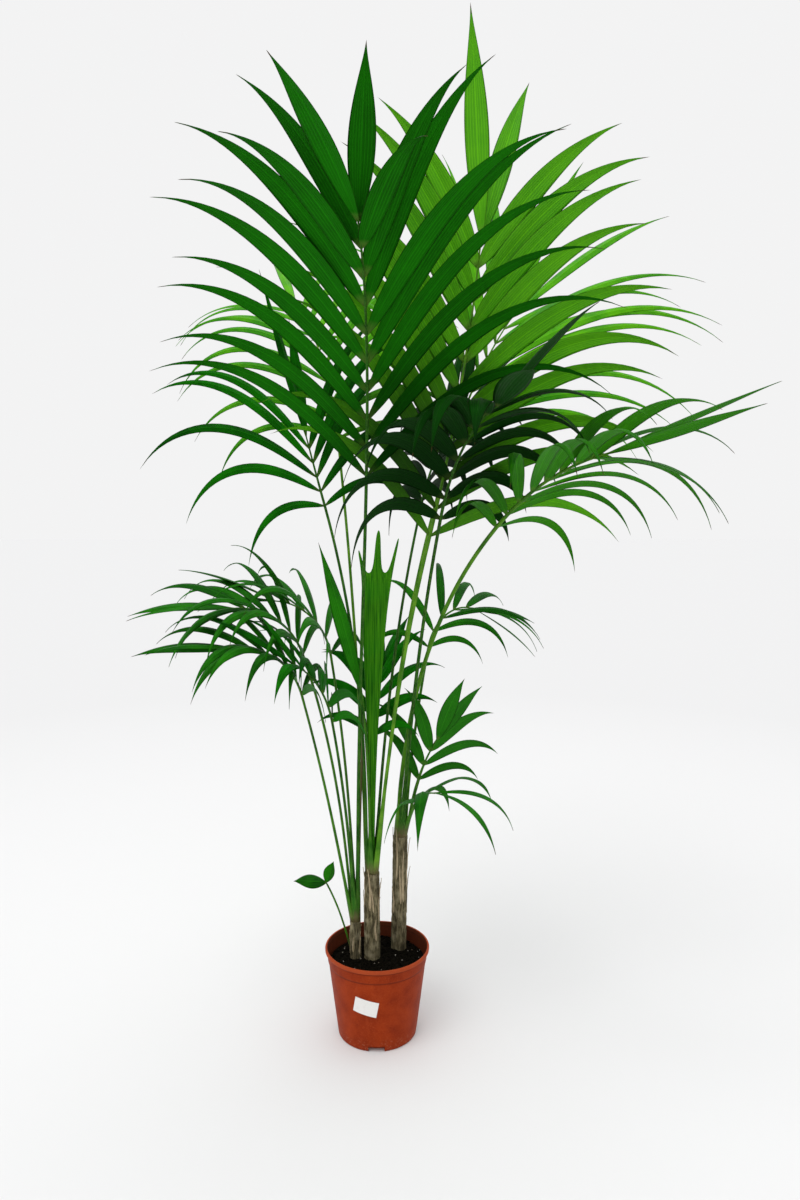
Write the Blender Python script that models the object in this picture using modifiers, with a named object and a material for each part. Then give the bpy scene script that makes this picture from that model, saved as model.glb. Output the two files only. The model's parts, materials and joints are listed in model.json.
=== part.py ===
"""Potted palm: a feather-leaved palm of three stems in a round nursery pot.

Metres, +Z up, -Y to the front. The origin is the centre of the pot's underside.
"""

import math

import bmesh
import bpy
import numpy as np
from mathutils.bvhtree import BVHTree

# ---- driving dimensions (metres) ------------------------------------------

GAP = 0.0003                 # air between pieces that touch

POT_HEIGHT = 0.181
POT_RIM_RADIUS = 0.105
POT_BASE_RADIUS = 0.079
POT_WALL = 0.0018
RIM_HEIGHT = 0.008
RIM_PROUD = 0.0035
STEP_BELOW_TOP = 0.030       # stacking step on the outside
STEP_PROUD = 0.0010
FLOOR_CENTRE = 0.003         # floor thickness inside the drainage ring
FLOOR_RING = 0.0145          # floor thickness over the drainage notches
RING_INNER_RADIUS = 0.054
POT_SEGMENTS = 40
NOTCH_COUNT = 4
NOTCH_WIDTH = 0.032
NOTCH_HEIGHT = 0.012
NOTCH_DEPTH = 0.014
DRAIN_RADIUS = 0.004

SOIL_EDGE = 0.152
SOIL_CENTRE = 0.160
SOCKET_DEPTH = 0.045

LABEL_WIDTH = 0.048
LABEL_HEIGHT = 0.033
LABEL_THICK = 0.0004
LABEL_CENTRE_Z = 0.099
LABEL_HEADING = -103.0       # degrees round the pot
LABEL_TILT = -12.0

LEAF_THICK = 0.0012          # thickness at the midrib
LEAF_FOLD = 0.10             # height of the midrib ridge per half width
STALK_SIDES = 6
STEM_SIDES = 12
SOCKET_HALF = 0.0028         # half the length of a leaflet's foot on the rachis
CLEARANCE = 0.0006           # air kept round a leaflet while it is placed
LEAF_STATIONS = (0.05, 0.36, 0.70)

# ---- stems: foot (x, y), lean of the top (x, y), height of top, radii -------

STEMS = {
    "main": dict(foot=(-0.010, -0.006), top=(-0.010, -0.006), height=0.337,
                 radius=(0.0165, 0.0150), rings=7),
    "right": dict(foot=(0.043, 0.036), top=(0.047, 0.028), height=0.400,
                  radius=(0.0160, 0.0145), rings=8),
    "left": dict(foot=(-0.043, -0.003), top=(-0.044, -0.003), height=0.234,
                 radius=(0.0120, 0.0105), rings=4),
}

# ---- leaves -----------------------------------------------------------------
# seat: degrees round the stem top (None: its middle); heading: degrees the leaf
# leans towards, swinging by sway; lean: degrees from upright at the foot, at the
# lowest leaflet and at the tip; roll: degrees the blade is turned about its stalk.

LEAF_DEFAULTS = dict(sway=0.0, roll=0.0, spread=(55.0, 22.0), lift=12.0, droop=90.0,
                     tip_spread=13.0, tip_droop=25.0, tip_length=0.85, low=0.8,
                     sides=(-1, 1), twist=12.0, wild=1.0, thick=1.0, cant=0.0,
                     taper=0.25, bias=0.0, tip_bias=0.0)

LEAVES = [
    dict(name="frond_front", stem="left", seat=330, heading=-66, sway=-28, lean=(0, 21.5, 60),
         petiole=0.89, rachis=0.47, pairs=10, leaflet=0.46, width=0.037, spread=(43, 17),
         lift=10, droop=80, seed=3, low=1.0, taper=0.50, cant=-2, bias=0.12, wild=0.5, twist=15,
         tip_length=0.56, tip_spread=8, tip_bias=-0.12, thick=1.15),
    dict(name="frond_top", stem="main", seat=315, heading=-45, lean=(8, 18, 7), roll=-45,
         petiole=0.68, rachis=0.52, pairs=11, leaflet=0.42, width=0.038, spread=(48, 24),
         lift=10, droop=85, seed=4, low=0.9, taper=0.30, wild=0.7, twist=18,
         tip_length=0.78, tip_spread=8.5, tip_bias=-0.06, thick=1.15),
    dict(name="frond_back_right", stem="main", seat=6, heading=34, lean=(6, 21, 40), roll=50,
         petiole=0.86, rachis=0.32, pairs=9, leaflet=0.54, width=0.024, spread=(50, 25),
         lift=10, droop=90, seed=5, twist=16),
    dict(name="frond_back_left", stem="main", seat=160, heading=122, lean=(4, 12, 57), roll=-20,
         petiole=0.86, rachis=0.36, pairs=10, leaflet=0.36, width=0.020, spread=(65, 30),
         lift=15, droop=110, seed=6),
    dict(name="frond_left", stem="main", seat=200, heading=189, lean=(0, 15, 14), roll=-60,
         petiole=0.73, rachis=0.14, pairs=6, leaflet=0.42, width=0.022, spread=(66, 20),
         lift=10, droop=130, seed=7, low=0.55, taper=0.45, tip_length=0.62, tip_spread=8, tip_bias=0.16,
         tip_droop=5),
    dict(name="frond_right", stem="right", seat=220, heading=-42, lean=(5, 44, 79), roll=-15,
         petiole=0.68, rachis=0.26, pairs=9, leaflet=0.31, width=0.028, spread=(60, 14),
         lift=10, droop=120, seed=8, tip_length=0.88, tip_spread=9, tip_droop=4,
         thick=1.4),
    dict(name="frond_front_right", stem="right", seat=275, heading=-66, lean=(10, 22, 75),
         petiole=0.66, rachis=0.28, pairs=8, leaflet=0.27, width=0.040, spread=(60, 30),
         lift=10, droop=160, seed=9, twist=18, wild=0.7, bias=-0.2, thick=1.15),
    dict(name="frond_low_left_a", stem="left", seat=150, heading=192, lean=(4, 18, 96), roll=-20,
         petiole=0.55, rachis=0.18, pairs=8, leaflet=0.24, width=0.022, spread=(60, 18),
         lift=20, droop=130, seed=10),
    dict(name="frond_low_left_b", stem="left", seat=210, heading=206, lean=(10, 15, 92), roll=-20,
         petiole=0.48, rachis=0.17, pairs=7, leaflet=0.23, width=0.023, spread=(60, 18),
         lift=20, droop=130, seed=11),
    dict(name="frond_low_left_c", stem="left", seat=270, heading=222, lean=(4, 12, 62), roll=-20,
         petiole=0.42, rachis=0.16, pairs=6, leaflet=0.22, width=0.024, spread=(60, 18),
         lift=20, droop=120, seed=12),
    dict(name="frond_low_left_d", stem="left", seat=90, heading=175, lean=(2, 9, 90),
         petiole=0.54, rachis=0.17, pairs=6, leaflet=0.23, width=0.024, spread=(60, 18),
         lift=20, droop=120, seed=16),
    dict(name="frond_low_right", stem="right", seat=5, heading=-20, lean=(10, 17, 33), roll=-60,
         petiole=0.12, rachis=0.10, pairs=4, leaflet=0.17, width=0.028, spread=(50, 18),
         lift=20, droop=90, seed=13),
    dict(name="frond_low_middle", stem="main", seat=109, heading=75, lean=(4, 10, 40),
         petiole=0.27, rachis=0.14, pairs=5, leaflet=0.17, width=0.026, spread=(55, 20),
         lift=20, droop=90, seed=17),
    dict(name="frond_young", stem="right", seat=318, heading=-24, lean=(12, 30, 95), roll=-10,
         petiole=0.08, rachis=0.05, pairs=3, leaflet=0.23, width=0.028, spread=(72, 40),
         lift=8, droop=135, seed=14, tip_spread=20, tip_droop=105),
    dict(name="frond_mid_right", stem="right", seat=60, heading=35, lean=(7, 13, 120), roll=30,
         petiole=0.38, rachis=0.17, pairs=6, leaflet=0.21, width=0.018, spread=(60, 25),
         lift=20, droop=120, seed=15),
    dict(name="frond_mid_back", stem="main", seat=58, heading=25, lean=(4, 14, 40),
         petiole=0.74, rachis=0.20, pairs=7, leaflet=0.24, width=0.034, spread=(60, 30),
         lift=10, droop=170, seed=18),
    dict(name="leaf_undivided", stem="main", seat=255, heading=195, lean=(0, 6, 8), roll=-80,
         petiole=0.36, rachis=0.012, pairs=1, leaflet=0.36, width=0.031, seed=19,
         tip_spread=9, tip_droop=10, sides=(1,)),
    dict(name="seedling", stem="soil", foot=(-0.055, 0.030), heading=205, lean=(14, 26, 28), roll=-60,
         petiole=0.155, rachis=0.010, pairs=1, leaflet=0.080, width=0.026, seed=20,
         tip_spread=45, tip_droop=6, tip_bias=0.35, thick=0.7),
]

# petiole radius at the foot, at the lowest leaflet and at the rachis tip
STALK_RADII = (0.0032, 0.0026, 0.0013)
SEAT_CLEAR = 0.0105          # ring of leaf feet on the main and right stems
SEAT_CLEAR_SMALL = 0.0068    # ring of leaf feet on the left stem

# ---- spear: the youngest, still pleated leaf ---------------------------------

SPEAR_STATIONS = [           # height above the stem, x shift, half width, half depth
    (0.00, 0.000, 0.0050, 0.0050),
    (0.14, 0.001, 0.0056, 0.0050),
    (0.30, 0.002, 0.0110, 0.0056),
    (0.42, 0.004, 0.0185, 0.0060),
    (0.52, 0.007, 0.0235, 0.0055),
    (0.60, 0.012, 0.0300, 0.0040),
]
SPEAR_POINTS = 6             # points across one face, every other one a pleat
SPEAR_PLEAT = 0.35           # pleat depth, share of the half depth
SPEAR_TIPS = [(0, -0.012, 0.055), (2, 0.004, 0.105), (4, 0.020, 0.085)]

COLOURS = {
    "pot": ((0.40, 0.075, 0.028), 0.50),
    "soil": ((0.012, 0.010, 0.008), 0.95),
    "label": ((0.85, 0.85, 0.83), 0.45),
    "stem": ((0.26, 0.20, 0.13), 0.85),
    "stub": ((0.16, 0.26, 0.07), 0.50),
    "spear": ((0.10, 0.30, 0.03), 0.42),
    "leaf": ((0.025, 0.17, 0.012), 0.38),
    "seedling": ((0.05, 0.24, 0.02), 0.40),
}


# ---- scene and materials -------------------------------------------------------

def clear_scene():
    for old in list(bpy.data.objects):
        bpy.data.objects.remove(old, do_unlink=True)


def make_collection(name):
    made = bpy.data.collections.new(name)
    bpy.context.scene.collection.children.link(made)
    return made


def make_material(name, key):
    colour, roughness = COLOURS[key]
    made = bpy.data.materials.new(name)
    made.use_nodes = True
    shader = made.node_tree.nodes["Principled BSDF"]
    shader.inputs["Base Color"].default_value = (*colour, 1.0)
    shader.inputs["Roughness"].default_value = roughness
    shader.inputs["Metallic"].default_value = 0.0
    made.diffuse_color = (*colour, 1.0)
    return made


def add_object(name, mesh, collection, key, smooth=True):
    made = bpy.data.objects.new(name, mesh)
    collection.objects.link(made)
    if key:
        mesh.materials.append(make_material(name + "_material", key))
    for face in mesh.polygons:
        face.use_smooth = smooth
    return made


def mesh_from(bm, name):
    mesh = bpy.data.meshes.new(name)
    bm.to_mesh(mesh)
    bm.free()
    return mesh


def apply_modifiers(made):
    """Turn the object's modifiers into its mesh."""
    graph = bpy.context.evaluated_depsgraph_get()
    graph.update()
    old = made.data
    made.data = bpy.data.meshes.new_from_object(made.evaluated_get(graph))
    made.modifiers.clear()
    bpy.data.meshes.remove(old)


def lathe(name, profile, segments, collection, key):
    """Turn a closed (radius, z) profile about the Z axis."""
    bm = bmesh.new()
    points = [bm.verts.new((radius, 0.0, z)) for radius, z in profile]
    for first, second in zip(points, points[1:]):
        bm.edges.new((first, second))
    mesh = bpy.data.meshes.new(name)
    bm.to_mesh(mesh)
    bm.free()
    made = add_object(name, mesh, collection, key)
    screw = made.modifiers.new("turn", "SCREW")
    screw.axis = "Z"
    screw.steps = segments
    screw.render_steps = segments
    screw.use_merge_vertices = True
    screw.merge_threshold = 0.00005
    apply_modifiers(made)
    return made


def cut(made, cutters):
    for cutter in cutters:
        tool = made.modifiers.new("cut", "BOOLEAN")
        tool.operation = "DIFFERENCE"
        tool.solver = "EXACT"
        tool.object = cutter
    apply_modifiers(made)


# ---- pot, soil and label --------------------------------------------------------

def wall_radius(z):
    """Outside radius of the pot's plain wall at a height."""
    low = POT_BASE_RADIUS
    high = POT_RIM_RADIUS - RIM_PROUD
    return low + (high - low) * z / POT_HEIGHT


def inner_radius(z):
    return wall_radius(z) - POT_WALL


def make_pot(collection, cutters):
    step = POT_HEIGHT - STEP_BELOW_TOP
    lip = POT_HEIGHT - RIM_HEIGHT
    profile = [
        (0.0, FLOOR_CENTRE),
        (RING_INNER_RADIUS, FLOOR_CENTRE),
        (RING_INNER_RADIUS + 0.003, FLOOR_RING),
        (inner_radius(FLOOR_RING) - 0.002, FLOOR_RING),
        (inner_radius(FLOOR_RING), FLOOR_RING + 0.002),
        (inner_radius(step), step),
        (inner_radius(step) + STEP_PROUD, step + 0.002),
        (inner_radius(POT_HEIGHT) + STEP_PROUD, POT_HEIGHT - 0.001),
        (inner_radius(POT_HEIGHT) + STEP_PROUD + 0.001, POT_HEIGHT),
        (POT_RIM_RADIUS - 0.0015, POT_HEIGHT),
        (POT_RIM_RADIUS, POT_HEIGHT - 0.0015),
        (POT_RIM_RADIUS - 0.0004, lip + 0.001),
        (POT_RIM_RADIUS - 0.0014, lip),
        (wall_radius(lip) + STEP_PROUD, lip),
        (wall_radius(step) + STEP_PROUD, step + 0.002),
        (wall_radius(step), step),
        (wall_radius(0.003), 0.003),
        (POT_BASE_RADIUS - 0.002, 0.0),
        (0.0, 0.0),
    ]
    pot = lathe("pot", profile, POT_SEGMENTS, collection, "pot")
    tools = []
    for index in range(NOTCH_COUNT):
        heading = math.radians(-90.0 + index * 360.0 / NOTCH_COUNT)
        middle = POT_BASE_RADIUS - NOTCH_DEPTH + 0.020
        bm = bmesh.new()
        bmesh.ops.create_cube(bm, size=1.0)
        bmesh.ops.scale(bm, vec=(0.040, NOTCH_WIDTH, 2.0 * NOTCH_HEIGHT), verts=bm.verts)
        notch = add_object(f"notch_{index}", mesh_from(bm, "notch"), cutters, None, False)
        notch.location = (middle * math.cos(heading), middle * math.sin(heading), 0.0)
        notch.rotation_euler = (0.0, 0.0, heading)
        bm = bmesh.new()
        bmesh.ops.create_cone(bm, cap_ends=True, segments=12, radius1=DRAIN_RADIUS,
                              radius2=DRAIN_RADIUS, depth=0.010)
        drain = add_object(f"drain_{index}", mesh_from(bm, "drain"), cutters, None, False)
        reach = POT_BASE_RADIUS - NOTCH_DEPTH + DRAIN_RADIUS + 0.001
        drain.location = (reach * math.cos(heading), reach * math.sin(heading), NOTCH_HEIGHT)
        tools += [notch, drain]
    bpy.context.view_layer.update()
    cut(pot, tools)
    return pot


def soil_height(x, y):
    """Height of the soil surface: mounded to the middle, with low waves."""
    share = min(math.hypot(x, y) / inner_radius(SOIL_EDGE), 1.0)
    return SOIL_EDGE + (SOIL_CENTRE - SOIL_EDGE) * (1.0 - share * share)


def make_soil(collection, cutters):
    top = []
    for share in (0.94, 0.7, 0.4):
        radius = share * inner_radius(SOIL_EDGE)
        top.append((radius, soil_height(radius, 0.0)))
    profile = [(0.0, SOIL_CENTRE)] + top[::-1] + [
        (inner_radius(SOIL_EDGE) - GAP, SOIL_EDGE - 0.002),
        (inner_radius(SOIL_EDGE * 0.99) - GAP - 0.0001, SOIL_EDGE * 0.99 - 0.002),
        (inner_radius(FLOOR_RING) - GAP, FLOOR_RING + 0.002),
        (inner_radius(FLOOR_RING) - 0.002 - GAP, FLOOR_RING + GAP),
        (RING_INNER_RADIUS + 0.003 - GAP, FLOOR_RING + GAP),
        (RING_INNER_RADIUS - GAP, FLOOR_CENTRE + GAP),
        (0.0, FLOOR_CENTRE + GAP),
    ]
    soil = lathe("soil", profile, POT_SEGMENTS, collection, "soil")
    sockets = []
    for name, stem in STEMS.items():
        bm = bmesh.new()
        radius = stem["radius"][0] + GAP
        bmesh.ops.create_cone(bm, cap_ends=True, segments=STEM_SIDES, radius1=radius,
                              radius2=radius, depth=2.0 * SOCKET_DEPTH)
        socket = add_object(f"socket_{name}", mesh_from(bm, "socket"), cutters, None, False)
        socket.location = (*stem["foot"], SOIL_CENTRE)
        sockets.append(socket)
    bpy.context.view_layer.update()
    cut(soil, sockets)
    return soil


def make_label(collection):
    """A blank paper label that follows the pot's wall."""
    bm = bmesh.new()
    bmesh.ops.create_grid(bm, x_segments=8, y_segments=1, size=0.5)
    tilt = math.radians(LABEL_TILT)
    for vert in bm.verts:
        across = vert.co.x * LABEL_WIDTH
        rise = vert.co.y * LABEL_HEIGHT
        turned = across * math.cos(tilt) - rise * math.sin(tilt)
        z = LABEL_CENTRE_Z + across * math.sin(tilt) + rise * math.cos(tilt)
        radius = wall_radius(z) + GAP + LABEL_THICK
        heading = math.radians(LABEL_HEADING) + turned / radius
        vert.co = (radius * math.cos(heading), radius * math.sin(heading), z)
    label = add_object("label", mesh_from(bm, "label"), collection, "label")
    shell = label.modifiers.new("thickness", "SOLIDIFY")
    shell.thickness = LABEL_THICK
    shell.offset = -1.0
    apply_modifiers(label)
    return label


# ---- stems ------------------------------------------------------------------------

def loft(sections):
    """Close a body over a list of equal rings of points, by extruding the cap."""
    bm = bmesh.new()
    foot = [bm.verts.new(point) for point in sections[0]]
    cap = bm.faces.new(foot)
    for ring in sections[1:]:
        cap = bmesh.ops.extrude_discrete_faces(bm, faces=[cap])["faces"][0]
        for vert, point in zip(cap.verts, ring):
            vert.co = point
    bm.faces.new(foot[::-1])
    return bm, cap


def make_stem(name, stem, collection):
    """A ringed trunk, standing in its socket and cut flat under the leaf feet."""
    foot = np.array([*stem["foot"], SOIL_CENTRE - SOCKET_DEPTH + GAP])
    top = np.array([*stem["top"], stem["height"]])
    knots = [(0.0, 1.0)]
    start = (SOIL_CENTRE + 0.004 - foot[2]) / (top[2] - foot[2])
    for index in range(stem["rings"]):
        share = start + (0.96 - start) * index / (stem["rings"] - 1)
        knots += [(share, 1.0), (share + 0.008, 0.965)]
    knots.append((1.0, 1.0))
    sections = []
    for share, swell in knots:
        middle = foot + (top - foot) * share
        shift = max(0.0, (share - start) / (1.0 - start))
        middle[:2] = foot[:2] + (top[:2] - foot[:2]) * shift
        radius = swell * np.interp(share, (0.0, 1.0), stem["radius"])
        angles = 2.0 * math.pi * np.arange(STEM_SIDES) / STEM_SIDES
        ring = np.c_[middle[0] + radius * np.cos(angles),
                     middle[1] + radius * np.sin(angles),
                     np.full(STEM_SIDES, middle[2])]
        sections.append(ring)
    bm, _ = loft(sections)
    return add_object("stem_" + name, mesh_from(bm, name), collection, "stem")


def spear_ring(rise, shift, half_width, half_depth, pleated):
    """A flattened ring, its two faces folded into pleats."""
    x0, y0 = STEMS["main"]["top"]
    z = STEMS["main"]["height"] + GAP + rise
    ring = []
    count = SPEAR_POINTS
    for face in (-1, 1):
        for index in range(count):
            step = index if face < 0 else count - 1 - index
            angle = math.pi * (step + 0.5) / count
            across = -math.cos(angle) / math.cos(math.pi / (2 * count))
            bulge = math.sin(angle)
            fold = 1.0 + pleated * SPEAR_PLEAT * (1.0 if step % 2 else -1.0)
            ring.append((x0 + shift + across * half_width,
                         y0 + face * bulge * half_depth * fold, z))
    return ring


def make_spear(collection):
    """The young leaf: a round sheath below, a pleated blade above, three free tips."""
    sections = []
    for index, (rise, shift, width, depth) in enumerate(SPEAR_STATIONS):
        pleated = min(index / 3.0, 1.0)
        sections.append(spear_ring(rise, shift, width, depth, pleated))
    bm, cap = loft(sections)
    ring = list(cap.verts)
    bmesh.ops.delete(bm, geom=[cap], context="FACES_ONLY")
    front, back = ring[:SPEAR_POINTS], ring[SPEAR_POINTS:][::-1]
    tops = []
    for index in range(SPEAR_POINTS - 1):
        tops.append(bm.faces.new((front[index], front[index + 1], back[index + 1], back[index])))
    for slot, shift, rise in SPEAR_TIPS:
        face = bmesh.ops.extrude_discrete_faces(bm, faces=[tops[slot]])["faces"][0]
        middle = face.calc_center_median()
        for vert in face.verts:
            vert.co = middle + 0.75 * (vert.co - middle)
            vert.co.x += 0.55 * shift
            vert.co.z += 0.55 * rise
        tip = bmesh.ops.poke(bm, faces=[face])["verts"][0]
        tip.co.x += 0.45 * shift
        tip.co.z += 0.45 * rise
    return add_object("spear_leaf", mesh_from(bm, "spear_leaf"), collection, "spear")


# ---- leaves -------------------------------------------------------------------------

def unit(vector):
    return vector / np.linalg.norm(vector)


def turned(vector, axis, angle):
    """The vector turned about a unit axis by an angle in radians."""
    return (vector * math.cos(angle) + np.cross(axis, vector) * math.sin(angle)
            + axis * np.dot(axis, vector) * (1.0 - math.cos(angle)))


def leaf_foot(leaf):
    """Where the leaf's stalk stands: on a stem's flat top, or on the soil."""
    if leaf["stem"] == "soil":
        x, y = leaf["foot"]
        return np.array([x, y, soil_height(x, y) + GAP])
    stem = STEMS[leaf["stem"]]
    x, y = stem["top"]
    if leaf["seat"] is not None:
        ring = SEAT_CLEAR_SMALL if leaf["stem"] == "left" else SEAT_CLEAR
        x += ring * math.cos(math.radians(leaf["seat"]))
        y += ring * math.sin(math.radians(leaf["seat"]))
    return np.array([x, y, stem["height"] + GAP])


def spine(leaf, count=60):
    """Distances, points, directions, side and upper directions along the stalk."""
    petiole, rachis = leaf["petiole"], leaf["rachis"]
    total = petiole + rachis
    along = np.linspace(0.0, total, 2 * count + 1)
    low, middle, high = leaf["lean"]
    rise = np.clip(along / petiole, 0.0, 1.0) ** 1.5
    bend = np.clip((along - petiole) / rachis, 0.0, 1.0) ** 1.15
    lean = np.radians(low + (middle - low) * rise + (high - middle) * bend)
    heading = np.radians(leaf["heading"] + leaf["sway"] * along / total)
    forward = np.c_[np.sin(lean) * np.cos(heading), np.sin(lean) * np.sin(heading), np.cos(lean)]
    flat = np.c_[-np.sin(heading), np.cos(heading), 0.0 * heading]
    upper = np.cross(forward, flat)
    roll = np.clip(along / petiole, 0.0, 1.0)[:, None] * math.radians(leaf["roll"])
    side = flat * np.cos(roll) + upper * np.sin(roll)
    upper = upper * np.cos(roll) - flat * np.sin(roll)
    steps = (forward[1:] + forward[:-1]) / 2.0 * np.diff(along)[:, None]
    points = np.vstack([np.zeros(3), np.cumsum(steps, axis=0)]) + leaf_foot(leaf)
    return along, points, forward, side, upper


def sample(along, values, where):
    return np.array([np.interp(where, along, values[:, axis]) for axis in range(3)])


def stalk_radius(leaf, where):
    share = (0.0, leaf["petiole"], leaf["petiole"] + leaf["rachis"])
    return leaf["thick"] * np.interp(where, share, STALK_RADII)


def leaflet_curve(leaf, frame, draw, share, side_sign, last, swing, steps=14):
    """Centre line, normals and half widths of one leaflet, drooping as it goes."""
    foot, forward, side, upper = frame
    wild = leaf["wild"]
    longest = leaf["low"] + (1.0 - leaf["low"]) * math.sin(min(share / 0.45, 1.0) * math.pi / 2.0)
    length = leaf["leaflet"] * longest
    length *= 1.0 - leaf["taper"] * max(0.0, (share - 0.45) / 0.55) ** 1.5
    length *= 1.0 + 0.05 * draw[0] * wild + leaf["bias"] * side_sign * (1.0 - share)
    low, high = leaf["spread"]
    spread = low + (high - low) * share ** 0.8 + 3.0 * draw[1] * wild
    lift = leaf["lift"] * (1.0 - 0.5 * share) + 5.0 * draw[2] * wild
    width = leaf["width"] * (0.72 + 0.28 * math.sin(min(share / 0.6, 1.0) * math.pi / 2.0))
    droop = leaf["droop"] * (1.0 - 0.45 * share) * (1.0 + 0.12 * draw[3] * wild)
    if last:
        length = leaf["leaflet"] * leaf["tip_length"] * (1.0 + leaf["tip_bias"] * side_sign)
        width = leaf["width"] * 1.05
        spread = leaf["tip_spread"] + 1.5 * draw[1]
        droop = leaf["tip_droop"]
    spread = math.radians(spread + side_sign * leaf["cant"] + swing[0])
    lift = math.radians(lift)
    out = side_sign * side * math.cos(lift) + upper * math.sin(lift)
    heading = unit(math.cos(spread) * forward + math.sin(spread) * out)
    heading = turned(heading, unit(np.cross(heading, upper)), math.radians(swing[1]))
    normal = unit(upper - np.dot(upper, heading) * heading)
    normal = turned(normal, heading, math.radians(side_sign * leaf["twist"] + 4.0 * draw[4] * wild))
    points, normals, headings = [foot], [normal], [heading]
    down = np.array([0.0, 0.0, -1.0])
    for index in range(steps):
        middle = (index + 0.5) / steps
        axis = np.cross(heading, down)
        size = np.linalg.norm(axis)
        if size > 1e-6:
            turn = math.radians(droop) * 1.9 * middle ** 0.9 / steps * size
            heading = turned(heading, axis / size, turn)
            normal = turned(normal, axis / size, turn)
        points.append(points[-1] + heading * length / steps)
        normals.append(normal)
        headings.append(heading)
    share = np.linspace(0.0, 1.0, steps + 1)
    skew = 0.85 if last else 0.68
    half = 0.5 * width * np.maximum(np.sin(math.pi * share ** skew), 0.0) ** (0.8 + 0.5 * share)
    half = np.maximum(half, 0.07 * width * (1.0 - share))
    points, normals = np.array(points), np.array(normals)
    across = side_sign * np.cross(np.array(headings), normals)
    return dict(share=share, points=points, normals=normals, across=across, half=half)


def leaflet_section(curve, where, thick, extra=0.0):
    """Four points of the folded blade: front edge, midrib top, back edge, midrib below."""
    point = sample(curve["share"], curve["points"], where)
    normal = unit(sample(curve["share"], curve["normals"], where))
    across = unit(sample(curve["share"], curve["across"], where))
    half = np.interp(where, curve["share"], curve["half"]) + extra
    ridge = LEAF_FOLD * half
    return [point + across * half - normal * ridge,
            point + normal * (ridge + 0.5 * thick),
            point - across * half - normal * ridge,
            point + normal * (ridge - 0.5 * thick)]


def test_body(curve, owner, stations):
    """A slightly swollen stretch of a leaflet, to see what it would touch."""
    rings = []
    for where in stations:
        rings += leaflet_section(curve, where, LEAF_THICK + 2.0 * CLEARANCE, CLEARANCE)
    faces = [(0, 1, 2, 3)]
    count = len(stations)
    for ring in range(count - 1):
        for corner in range(4):
            here = 4 * ring + corner
            there = 4 * ring + (corner + 1) % 4
            faces.append((here, there, there + 4, here + 4))
    faces.append(tuple(4 * (count - 1) + corner for corner in (3, 2, 1, 0)))
    return body_of(owner, np.array(rings), faces)


def body_of(owner, points, faces):
    """A search tree for a body, with its owner's name and its box."""
    tree = BVHTree.FromPolygons([tuple(point) for point in points], faces)
    return owner, tree, points.min(axis=0), points.max(axis=0)


def is_clear(body, placed, skip=None):
    _, tree, low, high = body
    for owner, other, other_low, other_high in placed:
        if owner == skip or np.any(low > other_high) or np.any(high < other_low):
            continue
        if tree.overlap(other):
            return False
    return True


def swings():
    """Small changes of a leaflet's angle to try, the smallest first."""
    steps = [0.0]
    for size in (3.0, 6.0, 9.0, 13.0, 18.0, 24.0, 31.0, 40.0):
        steps += [size, -size]
    pairs = [(first, second) for first in steps for second in steps]
    return sorted(pairs, key=lambda pair: (abs(pair[0]) * 1.5 + max(pair[1], -2.0 * pair[1]), pair))


def leaflet_places(leaf):
    """Distance along the stalk and share of the rachis of every leaflet pair."""
    count = leaf["pairs"]
    places = []
    for index in range(count):
        share = index / (count - 1) if count > 1 else 1.0
        where = leaf["petiole"] + leaf["rachis"] * (0.02 + 0.98 * share)
        last = index == count - 1
        if last:
            where -= SOCKET_HALF + 0.0008
        places.append((where, share, last))
    return places


def place_leaflets(leaf, placed):
    """Give every leaflet of a leaf a shape that passes clear of what is placed."""
    draws = np.random.default_rng(leaf["seed"])
    along, points, forward, side, upper = spine(leaf)
    leaflets = []
    for where, share, last in leaflet_places(leaf):
        frame = [sample(along, values, where) for values in (points, forward, side, upper)]
        for side_sign in (-1, 1):
            draw = draws.normal(size=6)
            if last and side_sign not in leaf["sides"]:
                continue
            for swing in swings():
                curve = leaflet_curve(leaf, frame, draw, share, side_sign, last, swing)
                root = test_body(curve, leaf["name"], (0.0, LEAF_STATIONS[0]))
                blade = test_body(curve, leaf["name"], LEAF_STATIONS + (1.0,))
                if is_clear(blade, placed) and is_clear(root, placed, leaf["name"]):
                    placed += [root, blade]
                    leaflets.append((where, side_sign, curve))
                    break
    return leaflets


def stalk_ring(leaf, frame_at, where, flat=False):
    point, forward, side, upper = frame_at(where)
    radius = stalk_radius(leaf, where)
    ring = []
    for index in range(STALK_SIDES):
        angle = math.radians(30.0 + 60.0 * index)
        offset = radius * (math.cos(angle) * side + math.sin(angle) * upper)
        if flat:
            offset[2] = 0.0
        ring.append(point + offset)
    return ring


def stalk_sections(leaf):
    """Rings up the petiole, then two rings round every pair of leaflets."""
    along, points, forward, side, upper = spine(leaf)

    def frame_at(where):
        return [sample(along, values, where) for values in (points, forward, side, upper)]

    places = leaflet_places(leaf)
    stops = list(np.linspace(0.0, places[0][0] - 0.006, 7))
    for where, _, _ in places:
        stops += [where - SOCKET_HALF, where + SOCKET_HALF]
    rings = [stalk_ring(leaf, frame_at, stop, stop == 0.0) for stop in stops]
    return stops, rings


def stalk_body(leaf):
    """The bare stalk as a thing to keep clear of."""
    _, rings = stalk_sections(leaf)
    faces = []
    for index in range(len(rings) - 1):
        for corner in range(STALK_SIDES):
            here = STALK_SIDES * index + corner
            there = STALK_SIDES * index + (corner + 1) % STALK_SIDES
            faces.append((here, there, there + STALK_SIDES, here + STALK_SIDES))
    return body_of(leaf["name"], np.vstack(rings), faces)


def object_body(made):
    mesh = made.data
    points = np.array([tuple(vert.co) for vert in mesh.vertices])
    return body_of(made.name, points, [tuple(face.vertices) for face in mesh.polygons])


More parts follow.
